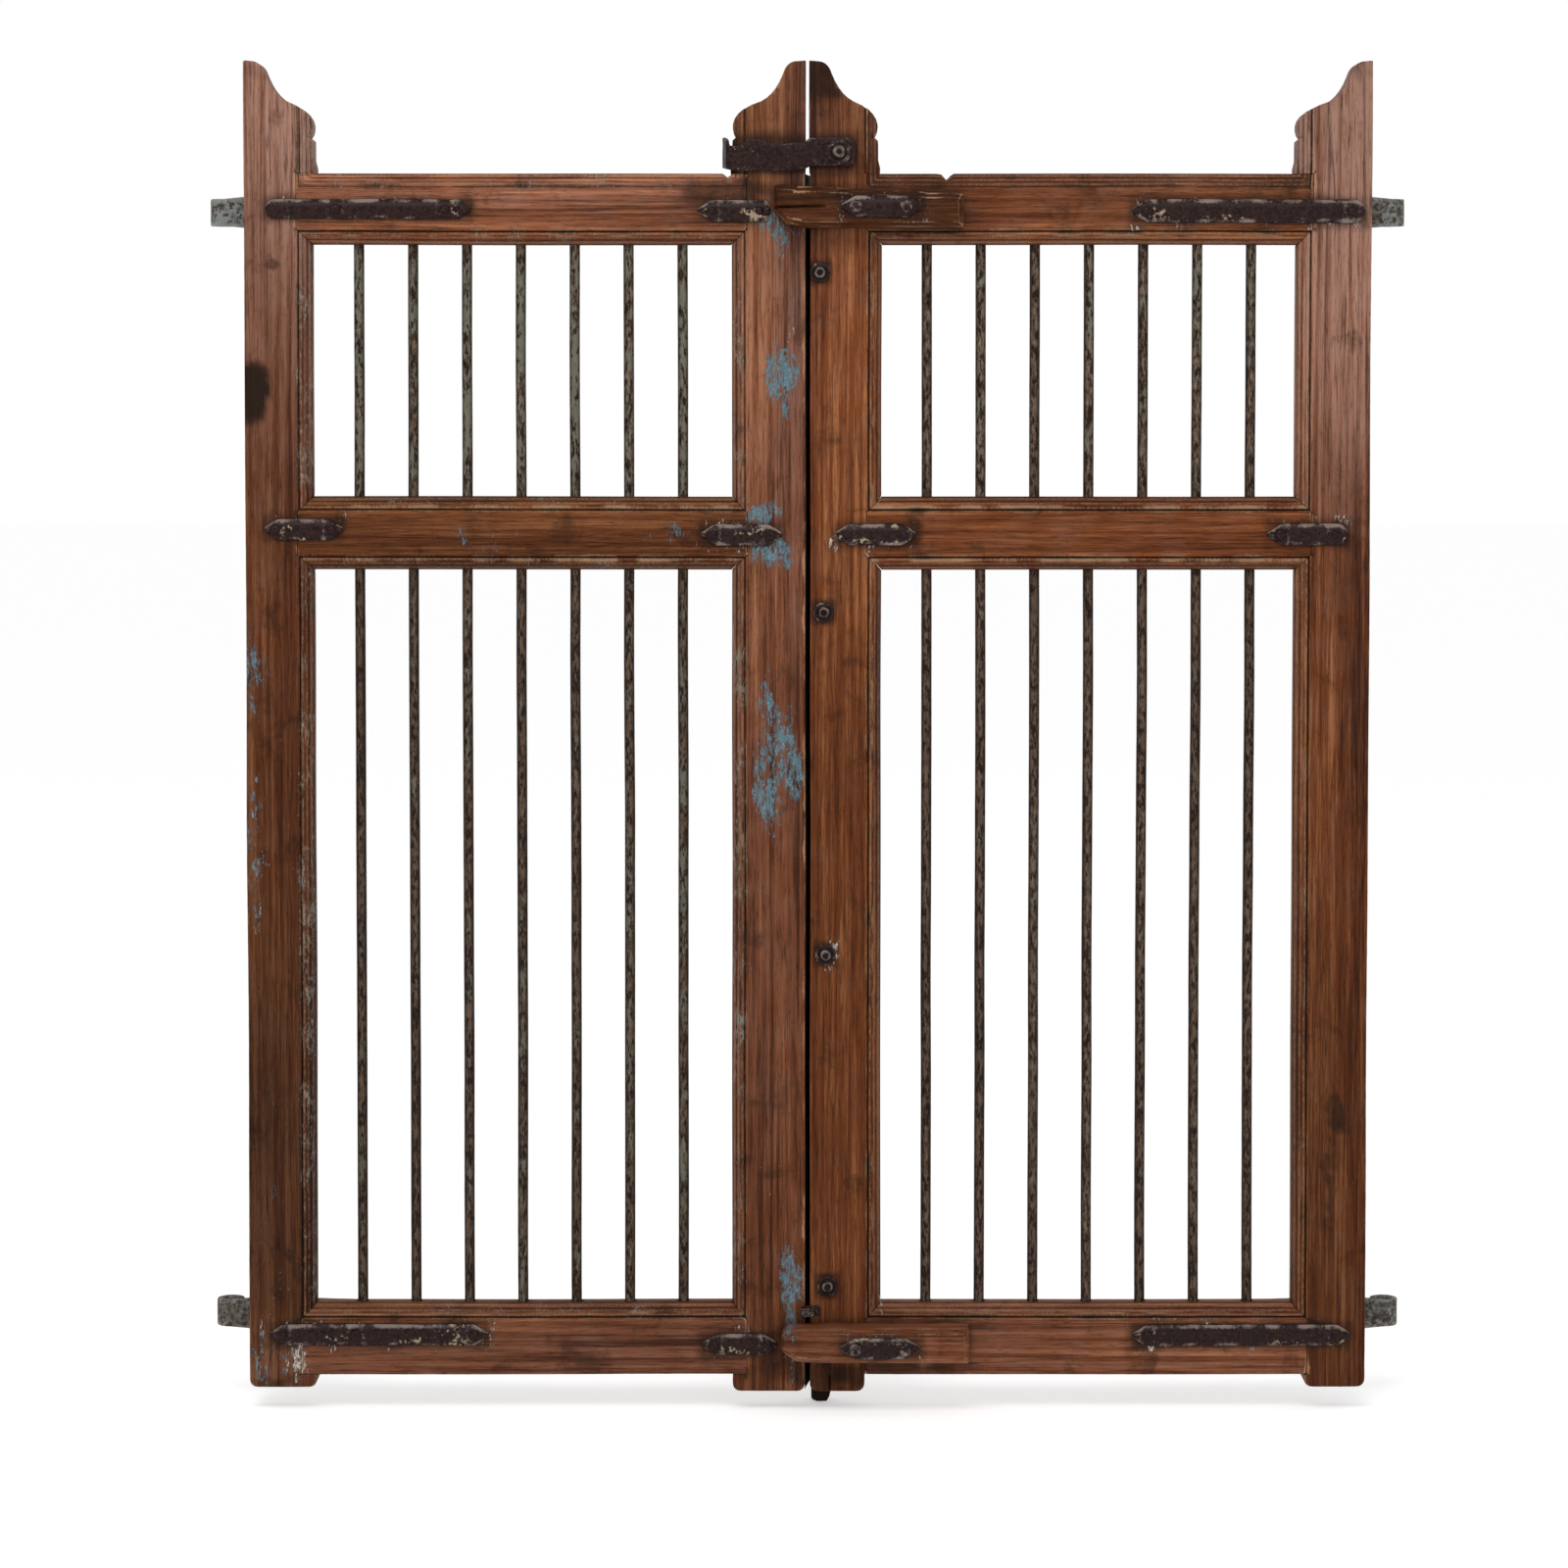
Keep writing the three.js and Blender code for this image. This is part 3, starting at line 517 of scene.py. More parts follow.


# "ages" holds, from the bottom up: height in millimetres, how light, how pale; the lightness is painted
# light, darker towards the bottom as light falls from above, together with each piece's own tone, and the
# paleness is bleached wood together with painted sheen towards the top
woodPieces = {
    "left_hanging_stile": {
        "grain": "z", "flecks": 0.10,
        "ages": (
            (40, 0.62, 0.22), (110, 0.34, 0.12), (300, 0.25, 0.08), (640, 0.58, 0.08),
            (900, 0.62, 0.12), (1120, 0.78, 0.45), (1200, 0.90, 0.70), (1290, 1.06, 0.90),
        ),
    },
    "left_meeting_stile": {
        "grain": "z", "flecks": 0.095,
        "ages": (
            (40, 0.80, 0.10), (370, 0.93, 0.14), (815, 1.00, 0.20), (1140, 1.05, 0.38),
            (1230, 0.85, 0.25), (1320, 0.78, 0.22),
        ),
    },
    "left_top_rail": {"grain": "x", "flecks": 0.08, "ages": ((1200, 1.1, 0.1), (1240, 1.45, 0.25))},
    "left_middle_rail": {
        "grain": "x", "flecks": 0.09,
        "ages": ((880, 0.56, 0.0), (920, 0.62, 0.0)),
    },
    "left_bottom_rail": {
        "grain": "x", "flecks": 0.08,
        "ages": ((50, 1.02, 0.24), (100, 0.9, 0.16)),
    },
    "right_hanging_stile": {
        "grain": "z",
        "ages": (
            (60, 0.62, 0.05), (290, 0.56, 0.03), (640, 0.80, 0.05), (880, 0.88, 0.12),
            (1010, 1.12, 0.55), (1120, 1.14, 0.75), (1290, 0.94, 0.95),
        ),
    },
    "right_meeting_stile": {
        "grain": "z",
        "ages": (
            (60, 0.80, 0.0), (300, 0.78, 0.0), (690, 0.76, 0.0), (1030, 1.10, 0.06),
            (1200, 0.95, 0.08), (1320, 0.70, 0.12),
        ),
    },
    "right_top_rail": {"grain": "x", "ages": ((1200, 0.92, 0.10), (1250, 0.84, 0.12))},
    "right_middle_rail": {"grain": "x", "ages": ((880, 1.0, 0.04), (920, 1.05, 0.04))},
    "right_bottom_rail": {"grain": "x", "ages": ((50, 1.03, 0.24), (100, 1.05, 0.2))},
    "top_cleat": {"grain": "x", "ages": ((1215, 0.46, 0.03), (1245, 0.28, 0.03))},
    "bottom_cleat": {"grain": "x", "ages": ((60, 1.0, 0.15), (90, 1.05, 0.15))},
    "cover_batten": {"grain": "z", "ages": ((0, 0.6, 0.0), (1238, 0.65, 0.0))},
}


# lightness and paleness at a height, between the nearest two stops: painted light with each piece's tone,
# bleaching with painted sheen
def ageAt(stops, z):
    if z <= stops[0][0]:
        return stops[0][1:]
    for (z1, a1, b1), (z2, a2, b2) in zip(stops, stops[1:]):
        if z <= z2:
            t = (z - z1) / (z2 - z1)
            return a1 + (a2 - a1) * t, b1 + (b2 - b1) * t
    return stops[-1][1:]


woodGrid = 6.0 * mm
edgeCut = 1.3 * mm


def cutAcross(mesh, axis, places):
    normal = Vector((0, 0, 0))
    normal[axis] = 1
    for place in places:
        point = Vector((0, 0, 0))
        point[axis] = place
        geometry = mesh.verts[:] + mesh.edges[:] + mesh.faces[:]
        bmesh.ops.bisect_plane(mesh, geom=geometry, plane_co=point, plane_no=normal, dist=1e-6)


def gridBetween(low, high, step):
    count = max(1, round((high - low) / step))
    return [low + (high - low) * i / count for i in range(1, count)]


# darkness of the slanted edges that face each other in the gap
def meetingEdgeShade(side, p):
    x, y, z = p.x / mm, p.y, p.z / mm
    into = (y - leafFront) / mm
    if side == "left" and z < 1266 and x > -2.2 and into > 1.2:
        return 1.0
    if side == "right" and x < 9.0 and into > 1.5 and abs(x - (2.5 + into * 0.15)) < 1.2 and z < 1262:
        return 1.0
    return 0.0


def ageWood(node, settings):
    side = "left" if node.startswith("left") else "right"
    low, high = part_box(node)
    mesh = bmesh.new()
    mesh.from_mesh(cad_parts[node].data)
    bmesh.ops.remove_doubles(mesh, verts=mesh.verts, dist=2e-5)
    bmesh.ops.dissolve_limit(
        mesh, angle_limit=math.radians(0.5), verts=mesh.verts[:], edges=mesh.edges[:]
    )
    cutAcross(mesh, 0, gridBetween(low.x, high.x, woodGrid) + [low.x + edgeCut, high.x - edgeCut])
    cutAcross(mesh, 2, gridBetween(low.z, high.z, woodGrid) + [low.z + edgeCut, high.z - edgeCut])
    cutAcross(mesh, 1, gridBetween(low.y, high.y, 9 * mm) + [low.y + edgeCut, high.y - edgeCut])
    for axis, places in settings.get("cuts", {}).items():
        cutAcross(mesh, axis, [place * mm for place in places])
    mesh.normal_update()

    layers = {
        kind: mesh.verts.layers.float.new(kind)
        for kind in ("wear", "dirt", "tone", "bleachAndSheen", "bluePaint", "palePaint", "greyPaint", "moulding")
    }
    moves = []
    for vert in mesh.verts:
        p = vert.co
        x, z = p.x / mm, p.z / mm
        convex, concave = 0.0, 0.0
        for edge in vert.link_edges:
            if len(edge.link_faces) == 2:
                turn = edge.calc_face_angle_signed(0.0)
                convex = max(convex, turn)
                concave = max(concave, -turn)
        rough = noise.noise(p * 45)
        rougher = noise.noise(p * 160 + Vector((5, 5, 5)))
        onFront = p.y < leafFront + 15 * mm
        moulding = nearOpening(side, x, z) if "rail" in node or "stile" in node else 99.0
        vert[layers["moulding"]] = moulding if onFront else 99.0
        shift = agedShift(p)
        if convex > 0.7:
            amount = age["arris"] * (1.0 + 0.9 * rough + 0.5 * rougher)
            if moulding < mouldingWidth:
                amount *= 0.45
            elif rough > 0.30:
                amount += age["chip"] * (rough - 0.30) * (1.2 + rougher)
            shift -= vert.normal * max(amount, 0.0)
            vert[layers["wear"]] = clampTo(0.55 + rough * 0.6)
        if "cleat" in node:
            shift += vert.normal * (rough * 0.5 + rougher * 0.25) * mm
        elif onFront and convex < 0.3 and moulding > mouldingWidth:
            shift += vert.normal * rougher * 0.12 * mm
        if node.endswith("top_rail") and z > 1252.4 and p.y < leafFront + 2 * mm:
            shift.y += 1.1 * mm
        moves.append(shift)

        dirt = remainsAt("dirt", x, z) * (1.0 if onFront else 0.35)
        # painted shade in inward creases and in the moulding's outer groove
        if concave > 0.5:
            dirt = max(dirt, 0.62 + 0.3 * rough)
        if moulding < mouldingWidth and moulding > 10.5:
            dirt = max(dirt, 0.42 + 0.35 * rough)
        # painted contact shadow around the straps, cleats, hasp, studs and bolts
        for plate in ironPlates:
            gap = boxDistance(p.x, p.z, plate) / mm
            if gap < 14 and onFront:
                dirt = max(dirt, 0.55 * (1 - gap / 14) + 0.15 * rough)
        for plate in cleatPlates:
            gap = boxDistance(p.x, p.z, plate) / mm
            if gap < 12 and onFront and "cleat" not in node:
                dirt = max(dirt, 0.45 * (1 - gap / 12))
        gap = boxDistance(p.x, p.z, haspPlate) / mm
        if gap < 16 and onFront and "stile" in node:
            dirt = max(dirt, 0.6 * (1 - gap / 16))
        for place in ironRounds:
            gap = boxDistance(p.x, p.z, place) / mm
            if gap < 9 and onFront:
                dirt = max(dirt, 0.6 * (1 - gap / 9))
        dirt = max(dirt, meetingEdgeShade(side, p) * 1.4)
        # the batten's lower tip is black: a stained end together with painted shade
        if node == "cover_batten" and z < 26:
            dirt = 1.4
        # darker towards the bottom edge: painted shade
        if z < 34:
            dirt = max(dirt, 0.5 * (1 - (z - 18) / 16))
        vert[layers["dirt"]] = dirt

        blue = remainsAt("bluePaint", x, z) if onFront else 0.0
        pale = remainsAt("palePaint", x, z) if onFront else 0.0
        pale = max(pale, settings.get("flecks", 0.07))
        for plate in ironPlates:
            gap = boxDistance(p.x, p.z, plate) / mm
            if gap < 8 and onFront:
                pale = max(pale, 0.145 + 0.10 * rough)
        grey = 0.04
        if moulding < mouldingWidth and side == "left":
            grey = 0.155 + 0.09 * rough + (0.025 if "stile" in node else -0.01)
        elif moulding < mouldingWidth:
            grey = 0.10 + 0.07 * rough
        if not onFront:
            grey = min(grey, 0.06)
        vert[layers["bluePaint"]] = blue
        vert[layers["palePaint"]] = pale
        vert[layers["greyPaint"]] = grey

        # painted light: lighter towards the top, with each piece's own tone; paler towards the top:
        # bleaching with painted sheen
        light, bleachAndSheen = ageAt(settings["ages"], z)
        tone = light - 1.0 + 0.10 * noise.noise(Vector((x / 90, 2.2, z / 240)))
        bleachAndSheen += 0.12 * rough
        vert[layers["tone"]] = tone
        vert[layers["bleachAndSheen"]] = clampTo(bleachAndSheen)

    for vert, shift in zip(mesh.verts, moves):
        vert.co += shift
    for notch in settings.get("notches", []):
        carve(mesh, notch)
    return mesh


# pushes what is near a line in the front view along a direction: a split, a crack or a chip
def carve(mesh, notch):
    (x1, z1), (x2, z2) = notch["line"]
    start, run = Vector((x1, z1)) * mm, Vector((x2 - x1, z2 - z1)) * mm
    for vert in mesh.verts:
        if vert.co.y > leafFront + notch.get("deepest", 45) * mm:
            continue
        flat = Vector((vert.co.x, vert.co.z))
        t = clampTo((flat - start).dot(run) / run.length_squared)
        away = (flat - start - run * t).length / mm
        if away < notch["reach"]:
            vert.co += Vector(notch["push"]) * mm * (1 - away / notch["reach"]) * notch.get("taper", 1.0)


woodPieces["top_cleat"]["cuts"] = {
    2: (1228.2, 1229.6, 1230.2, 1230.8, 1232.0),
    0: (-30, -24, -18, 152, 154),
}
woodPieces["top_cleat"]["notches"] = [
    {"line": ((-40, 1229.5), (14, 1231.0)), "reach": 1.6, "push": (0, 5.5, 0), "deepest": -14},
    {"line": ((-36, 1253), (-36, 1231)), "reach": 4.0, "push": (2.0, 0, -1.0)},
]
woodPieces["right_top_rail"]["cuts"] = {0: (135, 138, 140, 141.5, 144), 2: (1252.0, 1252.8, 1258, 1260)}
woodPieces["right_top_rail"]["notches"] = [
    {"line": ((140.5, 1266), (140.5, 1262)), "reach": 6.0, "push": (0, 0, -6.5)},
]
woodPieces["left_top_rail"]["cuts"] = {0: (-86, -83, -81, -79, -76), 2: (1252.0, 1252.8)}
woodPieces["left_top_rail"]["notches"] = [
    {"line": ((-81, 1266), (-81, 1262)), "reach": 5.0, "push": (0, 0, -4.0)},
]
woodPieces["right_meeting_stile"]["cuts"] = {0: (21.8, 22.6, 23.0, 23.4, 24.2)}
woodPieces["right_meeting_stile"]["notches"] = [
    {"line": ((23, 14), (23, 37)), "reach": 0.9, "push": (0, 5.0, 0), "deepest": 3},
]


# turns a bmesh into a piece that rides on a body and stands for its CAD nodes
def finish(mesh, name, material, body, nodes, smoothAngle=0.7):
    data = bpy.data.meshes.new(name)
    bmesh.ops.triangulate(mesh, faces=[f for f in mesh.faces if len(f.verts) > 4])
    for edge in mesh.edges:
        edge.smooth = not (len(edge.link_faces) == 2 and edge.calc_face_angle(0.0) > smoothAngle)
    for face in mesh.faces:
        face.smooth = True
    mesh.to_mesh(data)
    mesh.free()
    data.materials.append(material)
    piece = bpy.data.objects.new(name, data)
    bpy.context.scene.collection.objects.link(piece)
    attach(piece, body)
    if nodes:
        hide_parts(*nodes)
    return piece


for node, settings in woodPieces.items():
    body = "left_leaf" if node.startswith("left") else "right_leaf"
    material = teakUpright if settings["grain"] == "z" else teakLevel
    finish(ageWood(node, settings), pieceName(node), material, body, [node])
print("wood aged")

barLook = {
    "radius": 5.3 * mm,
    "sides": 14,
    "step": 9 * mm,
    "wobble": 1.1 * mm,
    "hammer": 0.28 * mm,
}


def sortedInputs(group, name):
    return [item for item in group.interface.items_tree if item.name == name][0].identifier


# an empty geometry tree with named inputs, and the sockets that give them
def newTree(name, inputs):
    group = bpy.data.node_groups.new(name, "GeometryNodeTree")
    for label, kind in inputs:
        group.interface.new_socket(label, in_out="INPUT", socket_type="NodeSocket" + kind)
    group.interface.new_socket("Geometry", in_out="OUTPUT", socket_type="NodeSocketGeometry")
    return group, group.nodes.new("NodeGroupInput").outputs


# every tree ends in Realize Instances and Set Material
def endTree(group, geometry, material):
    whole = addNode(group, "GeometryNodeRealizeInstances", {0: geometry})
    dress = addNode(group, "GeometryNodeSetMaterial", {"Geometry": whole.outputs[0], "Material": material})
    addNode(group, "NodeGroupOutput", {0: dress.outputs[0]})


# a shift that wanders with the place, up to about half of size each way
def noiseShift(group, scale, detail, size):
    where = addNode(group, "GeometryNodeInputPosition").outputs[0]
    tex = addNode(group, "ShaderNodeTexNoise", {"Vector": where, "Scale": scale, "Detail": detail})
    middle = {0: tex.outputs["Color"], 1: (0.5, 0.5, 0.5)}
    centred = addNode(group, "ShaderNodeVectorMath", middle, operation="SUBTRACT")
    scaled = addNode(group, "ShaderNodeVectorMath", {0: centred.outputs[0]}, operation="SCALE")
    plug(group, scaled.inputs["Scale"], size)
    return scaled.outputs[0]


def barTree():
    group, given = newTree("barRow", (
        ("Count", "Int"), ("First", "Vector"), ("Pitch", "Vector"), ("Height", "Float"),
        ("Radius", "Float"),
        ("Sides", "Int"), ("Step", "Float"), ("Wobble", "Float"), ("Hammer", "Float"),
        ("Material", "Material"),
    ))
    row = {"Count": given["Count"], "Start Location": given["First"], "Offset": given["Pitch"]}
    points = addNode(group, "GeometryNodeMeshLine", row, mode="OFFSET")
    top = addNode(group, "ShaderNodeCombineXYZ", {"Z": given["Height"]})
    line = addNode(group, "GeometryNodeCurvePrimitiveLine", {"End": top.outputs[0]})
    resample = addNode(group, "GeometryNodeResampleCurve", mode="LENGTH")
    plug(group, resample.inputs["Curve"], line.outputs[0])
    plug(group, resample.inputs["Length"], given["Step"])
    ring = addNode(
        group, "GeometryNodeCurvePrimitiveCircle", {"Resolution": given["Sides"], "Radius": given["Radius"]}
    )
    path = {"Curve": resample.outputs[0], "Profile Curve": ring.outputs["Curve"], "Fill Caps": True}
    sweep = addNode(group, "GeometryNodeCurveToMesh", path)
    bars = {"Points": points.outputs["Mesh"], "Instance": sweep.outputs["Mesh"]}
    place = addNode(group, "GeometryNodeInstanceOnPoints", bars)
    real = addNode(group, "GeometryNodeRealizeInstances", {0: place.outputs[0]})

    bend = noiseShift(group, 3.5, 1.0, given["Wobble"])
    dents = noiseShift(group, 150.0, 1.0, given["Hammer"])
    flat = addNode(group, "ShaderNodeVectorMath", {0: bend, 1: (2.0, 1.0, 0.0)}, operation="MULTIPLY")
    total = addNode(group, "ShaderNodeVectorMath", {0: flat.outputs[0], 1: dents}, operation="ADD")
    move = addNode(
        group, "GeometryNodeSetPosition", {"Geometry": real.outputs[0], "Offset": total.outputs[0]}
    )
    endTree(group, move.outputs[0], given["Material"])
    return group


# runs a geometry tree on its own and returns a plain mesh
def treeMesh(group, name, values, start=None):
    holder = bpy.data.objects.new(name + "Holder", start or bpy.data.meshes.new(name + "Start"))
    bpy.context.scene.collection.objects.link(holder)
    modifier = holder.modifiers.new("tree", "NODES")
    modifier.node_group = group
    for key, value in values.items():
        modifier[sortedInputs(group, key)] = value
    bpy.context.view_layer.update()
    evaluated = holder.evaluated_get(bpy.context.evaluated_depsgraph_get())
    made = bpy.data.meshes.new_from_object(evaluated)
    holder.modifiers.remove(modifier)
    bpy.data.objects.remove(holder)
    made.name = name
    return made


# looks, if any, gives wear with painted highlight, paintLeft, and dirt with painted shade for a point of
# the mesh
def setOut(made, name, body, nodes, looks=None):
    for face in made.polygons:
        face.use_smooth = True
    if looks:
        values = [looks(vert.co) for vert in made.vertices]
        for i, kind in enumerate(("wear", "paintLeft", "dirt")):
            layer = made.attributes.new(kind, "FLOAT", "POINT")
            layer.data.foreach_set("value", [value[i] for value in values])
    piece = bpy.data.objects.new(name, made)
    bpy.context.scene.collection.objects.link(piece)
    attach(piece, body)
    if nodes:
        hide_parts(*nodes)
    return piece


barCentres = []
for side in ("left", "right"):
    for i in range(1, 8):
        low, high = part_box(f"{side}_bar_{i}")
        barCentres.append((low.x + high.x) / 2)


def barLooks(co):
    # painted light: each bar lighter along its middle, darker at its sides and lighter towards the top; the
    # per-bar noise is each bar's own tone, and the leaves differ in paint
    off = min(abs(co.x - centre) for centre in barCentres) / barLook["radius"]
    rim = clampTo((off - 0.45) / 0.45)
    upper = clampTo((co.z - 0.86) / 0.08)
    lane = round(co.x / (27 * mm))
    own = noise.noise(Vector((lane * 3.7, 1.5, co.z * 2.2)))
    side = 0.02 if co.x < 0 else -0.03
    wear = 0.07 * upper + 0.05 * own + 0.05 * (1 - rim)
    return wear, side + 0.03 * upper + 0.07 * own, 0.10 - 0.05 * upper - 0.12 * own + 0.34 * rim


barRow = barTree()
for side in ("left", "right"):
    nodes = [f"{side}_bar_{i}" for i in range(1, 8)]
    first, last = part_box(nodes[0]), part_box(nodes[-1])
    start = (first[0] + first[1]) / 2
    gap = ((last[0] + last[1]) / 2 - start) / (len(nodes) - 1)
    made = treeMesh(
        barRow,
        side + "Bars",
        {
            "Count": len(nodes),
            "First": (start.x, start.y, first[0].z),
            "Pitch": (gap.x, 0, 0),
            "Height": first[1].z - first[0].z,
            "Radius": barLook["radius"],
            "Sides": barLook["sides"],
            "Step": barLook["step"],
            "Wobble": barLook["wobble"],
            "Hammer": barLook["hammer"],
            "Material": barIron,
        },
    )
    setOut(made, side + "Bars", side + "_leaf", nodes, barLooks)
print("bars set")

strapShape = {
    "headRise": 2.5 * mm,
    "shoulder": 0.46,
    "rim": 0.30,
    "hammer": 0.28 * mm,
    "step": 2.5 * mm,
}

# how each end is drawn out, and where its nails stand in millimetres
straps = {
    "left_top_long_strap": {"ends": ("round", "point"), "nails": (-478.5, -367.5)},
    "left_top_meeting_strap": {"ends": ("point", "blunt"), "nails": (-97, -49)},
    "left_middle_hanging_strap": {"ends": ("point", "point"), "nails": (-541, -484)},
    "left_middle_meeting_strap": {"ends": ("point", "point"), "nails": (-97, -38)},
    "left_bottom_long_strap": {"ends": ("point", "point"), "nails": (-537, -462, -342)},
    "left_bottom_meeting_strap": {"ends": ("point", "point"), "nails": (-95, -41)},
    "right_top_long_strap": {"ends": ("point", "round"), "nails": (344, 551)},
    "right_middle_meeting_strap": {"ends": ("point", "point"), "nails": (40, 97)},
    "right_middle_hanging_strap": {"ends": ("point", "round"), "nails": (480, 536)},
    "right_bottom_long_strap": {"ends": ("point", "point"), "nails": (348, 541)},
    "top_cleat_strap": {"ends": ("point", "point"), "nails": ()},
    "bottom_cleat_strap": {"ends": ("point", "point"), "nails": ()},
}


# share of the full width at a distance from the strap's end
def endWidth(kind, away, width):
    reach = {"point": 0.62, "round": 0.50, "blunt": 0.15}[kind] * width
    t = clampTo(away / reach)
    if kind == "round":
        return math.sqrt(max(0.03, 1 - (1 - t) ** 2))
    return 0.20 + 0.80 * t


def ironMesh():
    mesh = bmesh.new()
    return mesh, *[mesh.verts.layers.float.new(kind) for kind in ("wear", "dirt", "paintLeft")]


# joins neighbouring rings of corners and closes both ends
def skinRings(mesh, rings):
    size = len(rings[0])
    for a, b in zip(rings, rings[1:]):
        for j in range(size):
            k = (j + 1) % size
            mesh.faces.new((a[j], b[j], b[k], a[k]))
    mesh.faces.new(rings[0])
    mesh.faces.new(list(reversed(rings[-1])))
    bmesh.ops.recalc_face_normals(mesh, faces=mesh.faces[:])
    return mesh


def forgedStrap(node, settings):
    low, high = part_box(node)
    hasNails = bool(settings["nails"])
    front = low.y + (strapShape["headRise"] if hasNails else 0)
    back = high.y
    thick = back - front
    width = high.z - low.z
    zc = (low.z + high.z) / 2
    mesh, wear, edgeShade, left = ironMesh()
    count = round((high.x - low.x) / strapShape["step"])
    across = (-1.0, -0.97, -0.78, -0.50, -0.18, 0.18, 0.50, 0.78, 0.97, 1.0)
    rings = []
    for i in range(count + 1):
        x = low.x + (high.x - low.x) * i / count
        share = min(
            endWidth(settings["ends"][0], x - low.x, width),
            endWidth(settings["ends"][1], high.x - x, width),
        )
        endFall = clampTo(min(x - low.x, high.x - x) / (4.5 * mm))
        ring = []
        for v in across:
            z = zc + v * share * width / 2
            lift = 1.0 if abs(v) <= strapShape["shoulder"] else 1.0 - (1.0 - strapShape["rim"]) * (
                (abs(v) - strapShape["shoulder"]) / (1 - strapShape["shoulder"])
            )
            if abs(v) == 1.0:
                lift = 0.0
            lift *= 0.45 + 0.55 * endFall
            dent = noise.noise(Vector((x * 70, v * 1.5, zc * 11)))
            small = noise.noise(Vector((x * 220, v * 4, zc * 31)))
            wave = agedShift(Vector((x, 0, z)))
            rise = max(0.0, thick * lift + (dent * 0.8 + small * 0.4) * strapShape["hammer"] * (lift > 0))
            outline = noise.noise(Vector((x * 60, 9.0 if v > 0 else 2.0, zc * 7))) * 0.5 * mm * abs(v)
            vert = mesh.verts.new((x + wave.x, back - min(rise, thick) + wave.y, z + wave.z + outline * v))
            # a painted highlight runs along both rims, stronger on the upper one, and the side faces get
            # painted shade; the ends and the rings round the nails are worn
            rim = 1.0 if 0.7 < abs(v) < 0.99 else 0.0
            nearNail = min([abs(x / mm - nail) for nail in settings["nails"]] or [99])
            ringWear = clampTo(1 - abs(nearNail - 7.5) / 3.5)
            upperRimHighlight = 0.30 if v > 0 else 0.14
            rubbedAndHighlight = rim * (upperRimHighlight + 0.5 * dent) + 0.10 * (1 - endFall)
            vert[wear] = clampTo(rubbedAndHighlight + 0.20 * ringWear + 0.10 * small)
            vert[edgeShade] = 0.5 if abs(v) == 1.0 else 0.0
            patch = noise.noise(Vector((x * 24, zc * 17, v * 1.1)))
            vert[left] = 0.14 * clampTo(patch * 2.6) + 0.06 * ringWear - 0.06
            ring.append(vert)
        rings.append(ring)
    return skinRings(mesh, rings)


for node, settings in straps.items():
    body = "left_leaf" if node.startswith("left") else "right_leaf"
    finish(forgedStrap(node, settings), pieceName(node), strapIron, body, [node], 0.6)
print("straps forged")

nailLook = {"radius": 5.4 * mm, "height": 3.6 * mm, "jitter": 0.2, "seed": 7}


def nailTree():
    group, given = newTree("nailHeads", (
        ("Geometry", "Geometry"), ("Radius", "Float"), ("Height", "Float"), ("Jitter", "Float"),
        ("Seed", "Int"), ("Material", "Material"),
    ))
    ball = addNode(group, "GeometryNodeMeshUVSphere", {"Segments": 18, "Rings": 10, "Radius": 1.0})
    axes = {"X": given["Radius"], "Y": given["Height"], "Z": given["Radius"]}
    size = addNode(group, "ShaderNodeCombineXYZ", axes)
    squash = addNode(
        group, "GeometryNodeTransform", {"Geometry": ball.outputs["Mesh"], "Scale": size.outputs[0]}
    )
    smallest = sums(group, "SUBTRACT", 1.0, given["Jitter"])
    spreadSize = addNode(group, "FunctionNodeRandomValue")
    spreadSize.data_type = "FLOAT"
    floats = [s for s in spreadSize.inputs if s.type == "VALUE"]
    plug(group, floats[0], smallest)
    floats[1].default_value = 1.08
    plug(group, spreadSize.inputs["Seed"], given["Seed"])
    place = addNode(
        group, "GeometryNodeInstanceOnPoints", {"Points": given["Geometry"], "Instance": squash.outputs[0]}
    )
    plug(group, place.inputs["Scale"], [s for s in spreadSize.outputs if s.type == "VALUE"][0])
    real = addNode(group, "GeometryNodeRealizeInstances", {0: place.outputs[0]})
    dents = noiseShift(group, 240.0, 2.0, 1.6 * mm)
    move = addNode(group, "GeometryNodeSetPosition", {"Geometry": real.outputs[0], "Offset": dents})
    endTree(group, move.outputs[0], given["Material"])
    return group


nailHeads = nailTree()


def nailsAt(name, points, body, material):
    start = bpy.data.meshes.new(name + "Points")
    start.from_pydata(points, [], [])
    made = treeMesh(
        nailHeads,
        name,
        {
            "Radius": nailLook["radius"],
            "Height": nailLook["height"],
            "Jitter": nailLook["jitter"],
            "Seed": nailLook["seed"],
            "Material": material,
        },
        start,
    )
    setOut(made, name, body, [])


for side in ("left", "right"):
    points = []
    for node, settings in straps.items():
        if not node.startswith(side):
            continue
        low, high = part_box(node)
        face = low.y + strapShape["headRise"] + 0.6 * mm
        for x in settings["nails"]:
            shift = agedShift(Vector((x * mm, 0, low.z)))
            points.append(Vector((x * mm, face, (low.z + high.z) / 2)) + shift)
    nailsAt(side + "StrapNails", points, side + "_leaf", strapIron)
print("nails driven")

